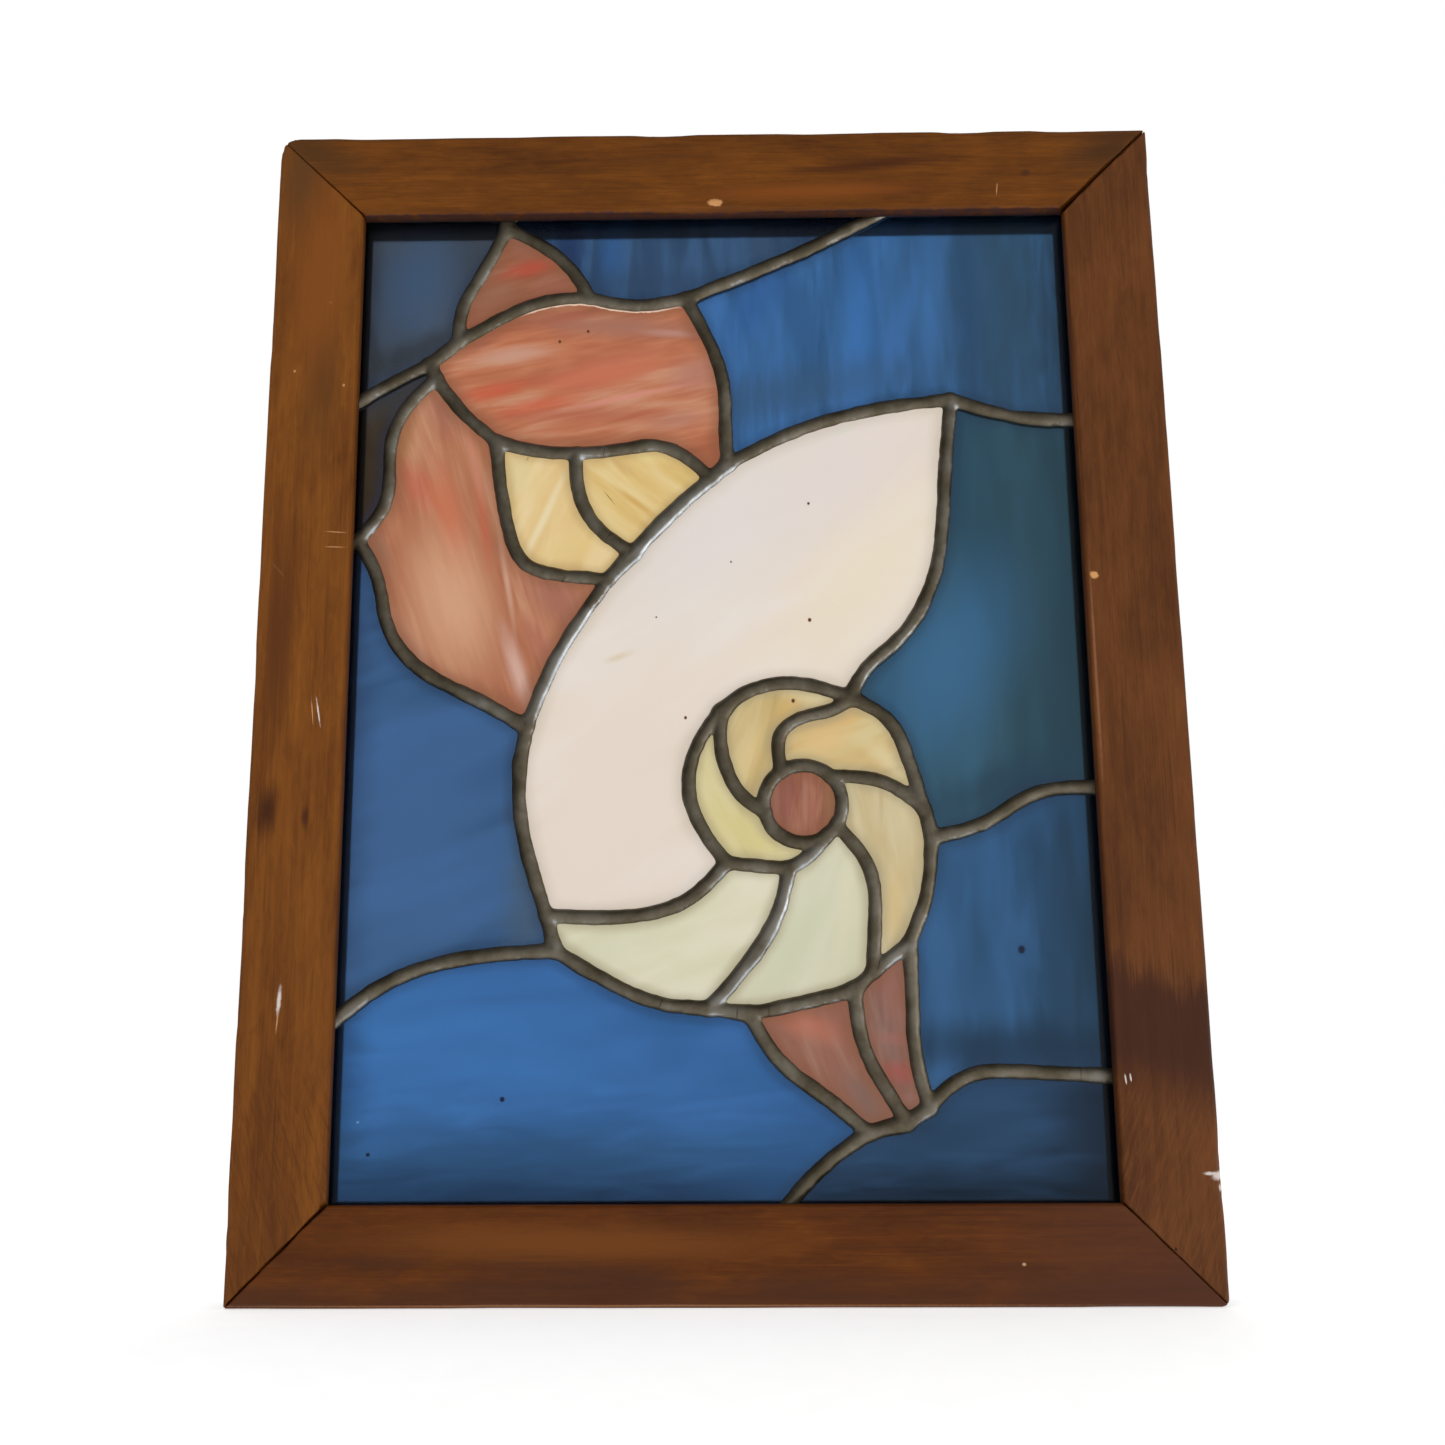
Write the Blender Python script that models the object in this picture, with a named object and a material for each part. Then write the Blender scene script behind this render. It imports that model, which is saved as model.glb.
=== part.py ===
"""A stained glass window: a foiled and soldered glass panel, held in a grooved and mitred wooden frame.

The window stands upright. X runs to the right as seen from the front, Z runs up, and the front faces -Y.
The origin is on the back of the frame, at the middle of the top rail, where the window hangs.
The picture is a common nautilus shell: its seams are curves through a few named points of the panel,
given as percent of the panel's width and height, counted from its lower left corner.
"""

import math

import bmesh
import bpy
import numpy as np
from mathutils import Vector
from mathutils.geometry import delaunay_2d_cdt

# Frame
FRAME_WIDTH = 0.312
FRAME_HEIGHT = 0.405
RAIL_WIDTH = 0.031
RAIL_THICKNESS = 0.019
OUTER_ARRIS_RADIUS = 0.0016
INNER_ARRIS_RADIUS = 0.0008
ARRIS_STEPS = 3
MITRE_GAP = 0.0003

# Groove that traps the panel in each rail
FRONT_LIP = 0.005
PANEL_HOLD = 0.004
GROOVE_SPARE = 0.0005

# Glass and solder
GLASS_THICKNESS = 0.003
BEAD_WIDTH = 0.0048
BEAD_HEIGHT = 0.0012
CROWN_WIDTH = 0.0018
WEB_WIDTH = 0.001
TOUCH_GAP = 0.0003
EYE_RADIUS = 0.0131
CURVE_TOLERANCE = 0.00022
CURVE_STEP = 0.001

# Centre of the coil's round eye, in percent of the panel
EYE_CENTRE = (60.9, 37.8)

# Where other seams meet the eye's ring, in degrees from +X towards +Z
EYE_ANGLES = {
    "eye_left": 193,
    "eye_top": 123,
    "eye_right": 46,
    "eye_low_right": -34,
    "eye_foot": -50,
}

# Where seams meet, in percent of the panel
JUNCTIONS = {
    "corner_top_left": (0, 100),
    "corner_top_right": (100, 100),
    "corner_foot_right": (100, 0),
    "corner_foot_left": (0, 0),
    "top_at_tip": (21.4, 100),
    "top_at_back": (74.5, 100),
    "left_high": (0, 78.6),
    "left_middle": (0, 63.9),
    "left_low": (0, 16.9),
    "right_high": (100, 76.6),
    "right_middle": (100, 39.2),
    "right_low": (100, 12.2),
    "foot_middle": (56.8, 0),
    "hood_tip": (21.3, 98.2),
    "brow_left": (14.9, 85.7),
    "brow_middle": (32.8, 90.4),
    "brow_right": (46.2, 90.2),
    "cheek_top": (10.9, 83.3),
    "cheek_foot": (11.9, 81.7),
    "cream_left": (20.3, 74.9),
    "cream_middle": (31.2, 73.5),
    "cream_notch": (38.9, 63.0),
    "cream_foot": (35.6, 60.3),
    "lip_left": (49.4, 70.7),
    "lip_top": (51.8, 72.3),
    "jaw_left": (2.0, 64.5),
    "jaw_right": (25.0, 45.4),
    "shoulder": (82.2, 78.9),
    "coil_top": (67.3, 48.2),
    "coil_left": (50.3, 46.9),
    "coil_foot": (50.9, 32.2),
    "coil_inner": (58.8, 31.6),
    "keel_left": (27.9, 27.3),
    "keel_low": (29.0, 24.0),
    "keel_middle": (48.6, 18.6),
    "keel_right": (69.3, 21.9),
    "side_low": (77.3, 34.5),
    "side_high": (76.5, 37.2),
    "tail_left": (53.6, 18.1),
    "tail_middle": (66.9, 20.2),
    "tail_right": (73.9, 24.5),
    "tip_left": (68.1, 7.3),
    "tip_middle": (73.0, 8.2),
    "tip_right": (75.7, 9.5),
}

# Seams: the two junctions, and the points that the curve passes between them, in percent of the panel
SEAMS = {
    ("top_at_tip", "hood_tip"): [],
    ("hood_tip", "brow_left"): [(17.7, 92.9), (15.1, 88.6)],
    ("hood_tip", "brow_middle"): [(25.9, 96.4), (31.0, 92.8)],
    ("left_high", "cheek_top"): [(5.0, 80.9)],
    ("cheek_top", "brow_left"): [],
    ("brow_left", "brow_middle"): [(20.0, 87.9), (26.5, 90.0)],
    ("brow_middle", "brow_right"): [(38.1, 89.55)],
    ("brow_right", "top_at_back"): [(55.0, 92.9), (63.5, 95.7)],
    ("cheek_top", "cheek_foot"): [],
    ("cheek_foot", "jaw_left"): [(7.6, 78.1), (5.9, 74.0), (5.7, 69.0)],
    ("cheek_foot", "cream_left"): [(15.5, 78.15)],
    ("cream_left", "cream_middle"): [(25.9, 73.8)],
    ("cream_middle", "lip_left"): [(37.2, 73.9), (42.7, 74.15), (46.2, 72.9)],
    ("cream_left", "cream_foot"): [(21.0, 70.0), (22.4, 65.0), (24.3, 62.1), (29.1, 60.8)],
    ("cream_middle", "cream_notch"): [(31.4, 70.0), (33.8, 66.0)],
    ("lip_left", "lip_top"): [],
    ("brow_right", "lip_top"): [(49.6, 85.0), (51.1, 81.4), (51.5, 75.0)],
    ("shoulder", "lip_top"): [(71.9, 77.9), (60.0, 75.3)],
    ("lip_left", "cream_notch"): [(44.8, 67.6)],
    ("cream_notch", "cream_foot"): [],
    ("cream_foot", "jaw_right"): [(32.6, 57.0), (28.1, 51.3)],
    ("left_middle", "jaw_left"): [],
    ("jaw_left", "jaw_right"): [(4.65, 60.8), (6.6, 55.2), (9.9, 51.9), (18.6, 48.2)],
    ("jaw_right", "keel_left"): [(24.2, 41.0), (24.8, 35.0)],
    ("keel_left", "keel_low"): [],
    ("left_low", "keel_low"): [(8.1, 21.2), (17.5, 23.3)],
    ("keel_low", "keel_middle"): [(35.0, 21.4), (42.3, 19.1)],
    ("keel_middle", "tail_left"): [],
    ("tail_left", "tail_middle"): [(60.0, 19.0)],
    ("tail_middle", "keel_right"): [],
    ("keel_right", "tail_right"): [],
    ("tail_right", "side_low"): [(76.0, 28.1)],
    ("side_low", "side_high"): [],
    ("side_high", "coil_top"): [(74.7, 42.0), (72.1, 46.0)],
    ("shoulder", "right_high"): [(92.3, 76.85)],
    ("side_low", "right_middle"): [(85.0, 36.2), (90.0, 38.4)],
    ("shoulder", "coil_top"): [(80.85, 70.0), (79.0, 60.5), (73.4, 53.6), (69.4, 50.9)],
    ("coil_top", "coil_left"): [(60.0, 49.65), (52.85, 48.4)],
    ("coil_left", "coil_foot"): [(47.0, 43.0), (46.5, 37.7), (49.1, 34.0)],
    ("coil_foot", "coil_inner"): [],
    ("keel_left", "coil_foot"): [(36.5, 27.1), (45.9, 28.7)],
    ("coil_inner", "keel_middle"): [(57.85, 28.3), (52.8, 22.1)],
    ("coil_inner", "eye_foot"): [(61.0, 32.5)],
    ("coil_left", "eye_left"): [(50.6, 42.4), (53.0, 38.7)],
    ("coil_top", "eye_top"): [(65.2, 47.1), (62.2, 46.5), (58.4, 44.9)],
    ("eye_right", "side_high"): [(71.9, 39.7)],
    ("eye_low_right", "keel_right"): [(69.2, 31.6), (69.75, 26.9)],
    ("tail_left", "tip_left"): [(57.3, 13.8), (63.8, 10.0)],
    ("tail_middle", "tip_middle"): [(67.9, 15.0), (70.3, 11.4)],
    ("tail_right", "tip_right"): [(74.1, 19.7), (74.2, 15.0)],
    ("tip_left", "tip_middle"): [],
    ("tip_middle", "tip_right"): [],
    ("tip_right", "right_low"): [(80.0, 12.1), (87.8, 12.7)],
    ("tip_left", "foot_middle"): [(62.5, 4.3)],
}

# Each glass piece: its colour and the junctions around it
GLASS_PIECES = {
    "blue_glass_top_left": (
        "slate_blue",
        ["left_high", "cheek_top", "brow_left", "hood_tip", "top_at_tip", "corner_top_left"],
    ),
    "blue_glass_top": ("mid_blue", ["top_at_tip", "hood_tip", "brow_middle", "brow_right", "top_at_back"]),
    "blue_glass_upper_right": (
        "mid_blue",
        ["top_at_back", "brow_right", "lip_top", "shoulder", "right_high", "corner_top_right"],
    ),
    "blue_glass_right": (
        "mid_blue",
        ["right_high", "shoulder", "coil_top", "side_high", "side_low", "right_middle"],
    ),
    "blue_glass_lower_right": (
        "mid_blue",
        ["right_middle", "side_low", "tail_right", "tip_right", "right_low"],
    ),
    "blue_glass_bottom_right": (
        "deep_blue",
        ["right_low", "tip_right", "tip_middle", "tip_left", "foot_middle", "corner_foot_right"],
    ),
    "blue_glass_bottom_left": (
        "bright_blue",
        [
            "foot_middle",
            "tip_left",
            "tail_left",
            "keel_middle",
            "keel_low",
            "left_low",
            "corner_foot_left",
        ],
    ),
    "blue_glass_left": (
        "bright_blue",
        ["left_low", "keel_low", "keel_left", "jaw_right", "jaw_left", "left_middle"],
    ),
    "blue_glass_left_edge": ("dusk_blue", ["left_middle", "jaw_left", "cheek_foot", "cheek_top", "left_high"]),
    "pink_glass_hood_tip": ("red_pink", ["brow_left", "brow_middle", "hood_tip"]),
    "pink_glass_hood": (
        "salmon_pink",
        [
            "cheek_top",
            "cheek_foot",
            "cream_left",
            "cream_middle",
            "lip_left",
            "lip_top",
            "brow_right",
            "brow_middle",
            "brow_left",
        ],
    ),
    "pink_glass_hood_left": (
        "salmon_pink",
        ["cheek_foot", "jaw_left", "jaw_right", "cream_foot", "cream_left"],
    ),
    "pink_glass_tail_left": ("rose_pink", ["tail_left", "tip_left", "tip_middle", "tail_middle"]),
    "pink_glass_tail_right": (
        "rose_pink",
        ["tail_middle", "tip_middle", "tip_right", "tail_right", "keel_right"],
    ),
    "pink_glass_eye": (
        "rose_pink",
        ["eye_right", "eye_top", "eye_left", "eye_foot", "eye_low_right"],
    ),
    "cream_glass_left": ("cream", ["cream_left", "cream_foot", "cream_notch", "cream_middle"]),
    "cream_glass_right": ("amber_cream", ["cream_middle", "cream_notch", "lip_left"]),
    "chamber_glass_1": ("amber_cream", ["coil_left", "eye_left", "eye_top", "coil_top"]),
    "chamber_glass_2": ("cream", ["coil_left", "coil_foot", "coil_inner", "eye_foot", "eye_left"]),
    "chamber_glass_3": ("amber_cream", ["coil_top", "eye_top", "eye_right", "side_high"]),
    "chamber_glass_4": (
        "cream",
        ["side_high", "eye_right", "eye_low_right", "keel_right", "tail_right", "side_low"],
    ),
    "chamber_glass_5": (
        "ivory",
        [
            "eye_low_right",
            "eye_foot",
            "coil_inner",
            "keel_middle",
            "tail_left",
            "tail_middle",
            "keel_right",
        ],
    ),
    "chamber_glass_6": ("ivory", ["coil_inner", "coil_foot", "keel_left", "keel_low", "keel_middle"]),
    "white_glass_shell": (
        "warm_white",
        [
            "shoulder",
            "lip_top",
            "lip_left",
            "cream_notch",
            "cream_foot",
            "jaw_right",
            "keel_left",
            "coil_foot",
            "coil_left",
            "coil_top",
        ],
    ),
}

# Colour (red, green, blue), roughness and metallic value of each material
FINISHES = {
    "brown_wood": ((0.115, 0.036, 0.010), 0.55, 0.0),
    "grey_solder": ((0.120, 0.105, 0.085), 0.35, 0.9),
    "slate_blue": ((0.055, 0.085, 0.145), 0.15, 0.0),
    "mid_blue": ((0.050, 0.120, 0.260), 0.15, 0.0),
    "bright_blue": ((0.045, 0.135, 0.350), 0.15, 0.0),
    "deep_blue": ((0.025, 0.060, 0.140), 0.15, 0.0),
    "dusk_blue": ((0.038, 0.038, 0.052), 0.15, 0.0),
    "red_pink": ((0.480, 0.105, 0.065), 0.15, 0.0),
    "salmon_pink": ((0.550, 0.175, 0.115), 0.15, 0.0),
    "rose_pink": ((0.390, 0.145, 0.120), 0.15, 0.0),
    "cream": ((0.740, 0.600, 0.320), 0.15, 0.0),
    "amber_cream": ((0.660, 0.470, 0.200), 0.15, 0.0),
    "ivory": ((0.690, 0.660, 0.480), 0.15, 0.0),
    "warm_white": ((0.770, 0.680, 0.580), 0.15, 0.0),
}
SHARP_ANGLE = math.radians(35)

# Depths, from the frame's back face at Y = 0 towards its front
FRAME_FRONT_Y = -RAIL_THICKNESS
GROOVE_FRONT_Y = FRAME_FRONT_Y + FRONT_LIP
CROWN_FRONT_Y = GROOVE_FRONT_Y + TOUCH_GAP
GLASS_FRONT_Y = CROWN_FRONT_Y + BEAD_HEIGHT
GLASS_BACK_Y = GLASS_FRONT_Y + GLASS_THICKNESS
CROWN_BACK_Y = GLASS_BACK_Y + BEAD_HEIGHT
GROOVE_BACK_Y = CROWN_BACK_Y + TOUCH_GAP

# Heights of the frame, from the middle of the top rail
FRAME_TOP_Z = RAIL_WIDTH / 2
FRAME_FOOT_Z = FRAME_TOP_Z - FRAME_HEIGHT
FRAME_CENTRE_Z = (FRAME_TOP_Z + FRAME_FOOT_Z) / 2

PANEL_WIDTH = FRAME_WIDTH - 2 * (RAIL_WIDTH - PANEL_HOLD)
PANEL_HEIGHT = FRAME_HEIGHT - 2 * (RAIL_WIDTH - PANEL_HOLD)


def clear_scene():
    for old in list(bpy.data.objects):
        bpy.data.objects.remove(old)


def make_material(name):
    colour, roughness, metallic = FINISHES[name]
    material = bpy.data.materials.get(name) or bpy.data.materials.new(name)
    material.use_nodes = True
    shader = material.node_tree.nodes["Principled BSDF"]
    shader.inputs["Base Color"].default_value = (*colour, 1.0)
    shader.inputs["Roughness"].default_value = roughness
    shader.inputs["Metallic"].default_value = metallic
    return material


def make_object(name, points, faces, finish, parent):
    """One closed body with its faces turned outwards, in its own material."""
    mesh = bpy.data.meshes.new(name)
    mesh.from_pydata(points, [], faces)
    shape = bmesh.new()
    shape.from_mesh(mesh)
    bmesh.ops.recalc_face_normals(shape, faces=shape.faces)
    shape.to_mesh(mesh)
    shape.free()
    mesh.materials.append(make_material(finish))
    mesh.shade_smooth()
    mesh.set_sharp_from_angle(angle=SHARP_ANGLE)
    piece = bpy.data.objects.new(name, mesh)
    piece.parent = parent
    bpy.context.scene.collection.objects.link(piece)
    return piece


def make_empty(name, place):
    empty = bpy.data.objects.new(name, None)
    empty.location = place
    bpy.context.scene.collection.objects.link(empty)
    return empty


def arc(centre, radius, start, end, steps):
    """Points of an arc, from the start angle to the end angle in degrees."""
    angles = [math.radians(start + (end - start) * step / steps) for step in range(steps + 1)]
    return [(centre[0] + radius * math.cos(a), centre[1] + radius * math.sin(a)) for a in angles]


# Frame


def rail_profile():
    """The rail's section: depth Y against the height above its inner edge, with the groove in that edge."""
    outer = OUTER_ARRIS_RADIUS
    inner = INNER_ARRIS_RADIUS
    front = FRAME_FRONT_Y
    groove_floor = PANEL_HOLD + GROOVE_SPARE
    section = arc((-outer, RAIL_WIDTH - outer), outer, 0, 90, ARRIS_STEPS)
    section += arc((front + outer, RAIL_WIDTH - outer), outer, 90, 180, ARRIS_STEPS)
    section += arc((front + inner, inner), inner, 180, 270, ARRIS_STEPS)
    section += [(GROOVE_FRONT_Y, 0), (GROOVE_FRONT_Y, groove_floor)]
    section += [(GROOVE_BACK_Y, groove_floor), (GROOVE_BACK_Y, 0)]
    section += arc((-inner, inner), inner, 270, 360, ARRIS_STEPS)
    return section


def make_rail(name, length, place, turn, parent):
    """A rail along X with its outer edge at Z = 0, cut at 45 degrees at both ends and then turned about Y."""
    section = rail_profile()
    count = len(section)
    points = []
    for side in (-1, 1):
        for depth, height in section:
            inset = RAIL_WIDTH - height
            reach = length / 2 - inset - MITRE_GAP / math.sqrt(2)
            points.append((side * reach, depth, -inset))
    faces = [list(range(count)), list(range(count, 2 * count))]
    for index in range(count):
        after = (index + 1) % count
        faces.append([index, after, count + after, count + index])
    rail = make_object(name, points, faces, "brown_wood", parent)
    rail.location = place
    rail.rotation_euler = (0, math.radians(turn), 0)


def make_frame():
    frame = make_empty("frame", (0, 0, FRAME_CENTRE_Z))
    half_width = FRAME_WIDTH / 2
    half_height = FRAME_HEIGHT / 2
    make_rail("top_rail", FRAME_WIDTH, (0, 0, half_height), 0, frame)
    make_rail("right_rail", FRAME_HEIGHT, (half_width, 0, 0), 90, frame)
    make_rail("bottom_rail", FRAME_WIDTH, (0, 0, -half_height), 180, frame)
    make_rail("left_rail", FRAME_HEIGHT, (-half_width, 0, 0), -90, frame)


# Seams


def panel_point(share):
    """A place on the panel, in metres from its centre, from its percent of the width and height."""
    return np.array([(share[0] / 100 - 0.5) * PANEL_WIDTH, (share[1] / 100 - 0.5) * PANEL_HEIGHT])


def eye_point(degrees):
    angle = math.radians(degrees)
    return panel_point(EYE_CENTRE) + EYE_RADIUS * np.array([math.cos(angle), math.sin(angle)])


def junction_point(name):
    if name in EYE_ANGLES:
        return eye_point(EYE_ANGLES[name])
    return panel_point(JUNCTIONS[name])


def natural_curve(knots):
    """Points along the natural cubic spline through the knots, with the chord length as its parameter."""
    knots = np.array(knots)
    lengths = np.linalg.norm(np.diff(knots, axis=0), axis=1)
    places = np.concatenate([[0.0], np.cumsum(lengths)])
    count = len(knots)
    system = np.eye(count)
    right = np.zeros((count, 2))
    for index in range(1, count - 1):
        before, after = lengths[index - 1], lengths[index]
        system[index, index - 1 : index + 2] = before, 2 * (before + after), after
        slope_change = (knots[index + 1] - knots[index]) / after - (knots[index] - knots[index - 1]) / before
        right[index] = 6 * slope_change
    bends = np.linalg.solve(system, right)
    wanted = np.linspace(0, places[-1], max(2, math.ceil(places[-1] / CURVE_STEP) + 1))
    span = np.clip(np.searchsorted(places, wanted, side="right") - 1, 0, count - 2)
    width = lengths[span][:, None]
    left = (places[span + 1] - wanted)[:, None]
    passed = (wanted - places[span])[:, None]
    curve = (bends[span] * left**3 + bends[span + 1] * passed**3) / (6 * width)
    curve += (knots[span] / width - bends[span] * width / 6) * left
    curve += (knots[span + 1] / width - bends[span + 1] * width / 6) * passed
    return curve


def thinned(curve):
    """The few points of a curve whose straight chords stay within CURVE_TOLERANCE of it."""
    chord = curve[-1] - curve[0]
    length = np.linalg.norm(chord)
    offsets = curve - curve[0]
    gaps = np.abs(offsets[:, 0] * chord[1] - offsets[:, 1] * chord[0]) / length
    worst = int(np.argmax(gaps))
    if gaps[worst] <= CURVE_TOLERANCE:
        return [curve[0], curve[-1]]
    return thinned(curve[: worst + 1])[:-1] + thinned(curve[worst:])


def eye_arc(start, end):
    """Points of the eye's ring between two of its junctions, anticlockwise."""
    first, last = EYE_ANGLES[start], EYE_ANGLES[end]
    while last <= first:
        last += 360
    step_limit = 2 * math.degrees(math.acos(1 - CURVE_TOLERANCE / EYE_RADIUS))
    steps = math.ceil((last - first) / step_limit)
    return [eye_point(first + (last - first) * step / steps) for step in range(steps + 1)]


def seam_points(start, end):
    """The polyline from one junction to the next: a seam, a part of the eye's ring, or the panel's edge."""
    if (start, end) in SEAMS:
        knots = [junction_point(start), *map(panel_point, SEAMS[start, end]), junction_point(end)]
        return thinned(natural_curve(knots))
    if (end, start) in SEAMS:
        return seam_points(end, start)[::-1]
    if start in EYE_ANGLES and end in EYE_ANGLES:
        going_on = (EYE_ANGLES[end] - EYE_ANGLES[start]) % 360
        if going_on < 180:
            return eye_arc(start, end)
        return eye_arc(end, start)[::-1]
    return [junction_point(start), junction_point(end)]


def piece_ring(junctions):
    """The seams' centre lines around a glass piece, as one anticlockwise ring."""
    ring = []
    for index, start in enumerate(junctions):
        end = junctions[(index + 1) % len(junctions)]
        ring += seam_points(start, end)[:-1]
    ring = np.array(ring)
    following = np.roll(ring, -1, axis=0)
    area = np.sum(ring[:, 0] * following[:, 1] - ring[:, 1] * following[:, 0])
    return ring if area > 0 else ring[::-1]


def meeting_point(corner, first, second, distance):
    """Where two neighbouring sides cross once both have moved in by the distance."""
    first_normal = np.array([-first[1], first[0]])
    second_normal = np.array([-second[1], second[0]])
    cross = first[0] * second[1] - first[1] * second[0]
    if abs(cross) < 1e-6:
        return corner[1] + second_normal * distance
    start = corner[0] + first_normal * distance
    other = corner[1] + second_normal * distance
    gap = other - start
    return start + first * (gap[0] * second[1] - gap[1] * second[0]) / cross


def inset_ring(ring, distance):
    """Moves every side of a ring in by the distance, dropping sides that have no length left.

    Returns one point for each point of the ring, so that rings of different insets can be joined.
    """
    count = len(ring)
    directions = np.roll(ring, -1, axis=0) - ring
    directions /= np.linalg.norm(directions, axis=1)[:, None]
    sides = list(range(count))
    while True:
        corners = []
        for index, side in enumerate(sides):
            before = sides[index - 1]
            corners.append(
                meeting_point((ring[before], ring[side]), directions[before], directions[side], distance)
            )
        lengths = []
        for index, side in enumerate(sides):
            run = corners[(index + 1) % len(sides)] - corners[index]
            lengths.append(float(np.dot(run, directions[side])))
        shortest = int(np.argmin(lengths))
        if lengths[shortest] > 0:
            break
        del sides[shortest]
    moved = np.empty_like(ring)
    for index, side in enumerate(sides):
        step = sides[index - 1] + 1
        while True:
            moved[step % count] = corners[index]
            if step % count == side:
                break
            step += 1
    return moved


# Glass


def make_glass(name, finish, ring, parent):
    outline = inset_ring(ring, WEB_WIDTH / 2 + TOUCH_GAP)
    kept = [tuple(point) for index, point in enumerate(outline) if tuple(point) != tuple(outline[index - 1])]
    count = len(kept)
    points = [(x, GLASS_FRONT_Y, z) for x, z in kept] + [(x, GLASS_BACK_Y, z) for x, z in kept]
    faces = [list(range(count)), list(range(count, 2 * count))]
    for index in range(count):
        after = (index + 1) % count
        faces.append([index, after, count + after, count + index])
    make_object(name, points, faces, finish, parent)


# Solder


def inside_ring(point, ring):
    """True where the point lies inside the ring, by counting the sides to its right."""
    following = np.roll(ring, -1, axis=0)
    crosses = (ring[:, 1] > point[1]) != (following[:, 1] > point[1])
    start, end = ring[crosses], following[crosses]
    where = start[:, 0] + (point[1] - start[:, 1]) / (end[:, 1] - start[:, 1]) * (end[:, 0] - start[:, 0])
    return np.count_nonzero(where > point[0]) % 2 == 1


class Lattice:
    """Collects the solder's points and faces; points at the same place are one."""

    def __init__(self):
        self.points = []
        self.faces = []
        self.numbers = {}

    def number(self, place, depth):
        key = (round(float(place[0]), 8), depth, round(float(place[1]), 8))
        if key not in self.numbers:
            self.numbers[key] = len(self.points)
            self.points.append(key)
        return self.numbers[key]

    def add_face(self, corners):
        kept = [corner for index, corner in enumerate(corners) if corner != corners[index - 1]]
        if len(kept) > 2:
            self.faces.append(kept)

    def add_band(self, first, first_depth, second, second_depth):
        """Joins two rings that have a point for each point of the same centre line."""
        count = len(first)
        for index in range(count):
            after = (index + 1) % count
            self.add_face(
                [
                    self.number(first[index], first_depth),
                    self.number(first[after], first_depth),
                    self.number(second[after], second_depth),
                    self.number(second[index], second_depth),
                ]
            )

    def add_sheet_with_holes(self, outline, holes, depth):
        """The flat crown of the beads: the panel's outline less the hole over each glass piece."""
        places = []
        edges = []
        for loop in [outline, *holes]:
            kept = [point for index, point in enumerate(loop) if tuple(point) != tuple(loop[index - 1])]
            start = len(places)
            places += kept
            edges += [(start + i, start + (i + 1) % len(kept)) for i in range(len(kept))]
        found, _, triangles, *_ = delaunay_2d_cdt([Vector(p) for p in places], edges, [], 0, 1e-9)
        for triangle in triangles:
            middle = sum((np.array(found[corner]) for corner in triangle), np.zeros(2)) / 3
            if not any(inside_ring(middle, hole) for hole in holes):
                self.add_face([self.number(places[corner], depth) for corner in triangle])


def make_solder(rings, parent):
    """Beads on both faces of the glass, joined by the thin web between the pieces, all one body."""
    half_width, half_height = PANEL_WIDTH / 2, PANEL_HEIGHT / 2
    outline = [
        (-half_width, -half_height),
        (half_width, -half_height),
        (half_width, half_height),
        (-half_width, half_height),
    ]
    outline = np.array(outline)
    webs = [inset_ring(ring, WEB_WIDTH / 2) for ring in rings]
    crowns = [inset_ring(ring, CROWN_WIDTH / 2) for ring in rings]
    edges = [inset_ring(ring, BEAD_WIDTH / 2) for ring in rings]
    front_under = GLASS_FRONT_Y - TOUCH_GAP
    back_under = GLASS_BACK_Y + TOUCH_GAP
    lattice = Lattice()
    for crown_depth, under_depth in ((CROWN_FRONT_Y, front_under), (CROWN_BACK_Y, back_under)):
        lattice.add_sheet_with_holes(outline, crowns, crown_depth)
        for web, crown, edge in zip(webs, crowns, edges):
            lattice.add_band(crown, crown_depth, edge, under_depth)
            lattice.add_band(edge, under_depth, web, under_depth)
    for web in webs:
        lattice.add_band(web, front_under, web, back_under)
    lattice.add_band(outline, CROWN_FRONT_Y, outline, CROWN_BACK_Y)
    make_object("solder_lines", lattice.points, lattice.faces, "grey_solder", parent)


def make_panel():
    panel = make_empty("panel", (0, 0, FRAME_CENTRE_Z))
    rings = {name: piece_ring(junctions) for name, (_, junctions) in GLASS_PIECES.items()}
    for name, (finish, _) in GLASS_PIECES.items():
        make_glass(name, finish, rings[name], panel)
    make_solder(list(rings.values()), panel)


clear_scene()
make_frame()
make_panel()
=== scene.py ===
"""The looks of a stained glass window: streaky glass, soldered seams and a worn frame of stained wood.

X runs to the right as seen from the front, Z runs up and the front faces -Y. Sizes are in metres, but the
tables of marks, patches and swells have millimetres. Places on the glass panel are given as percent of its
width and height, from its lower left corner.
"""

import math

import bpy
import numpy as np
from mathutils import Matrix, Vector


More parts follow.
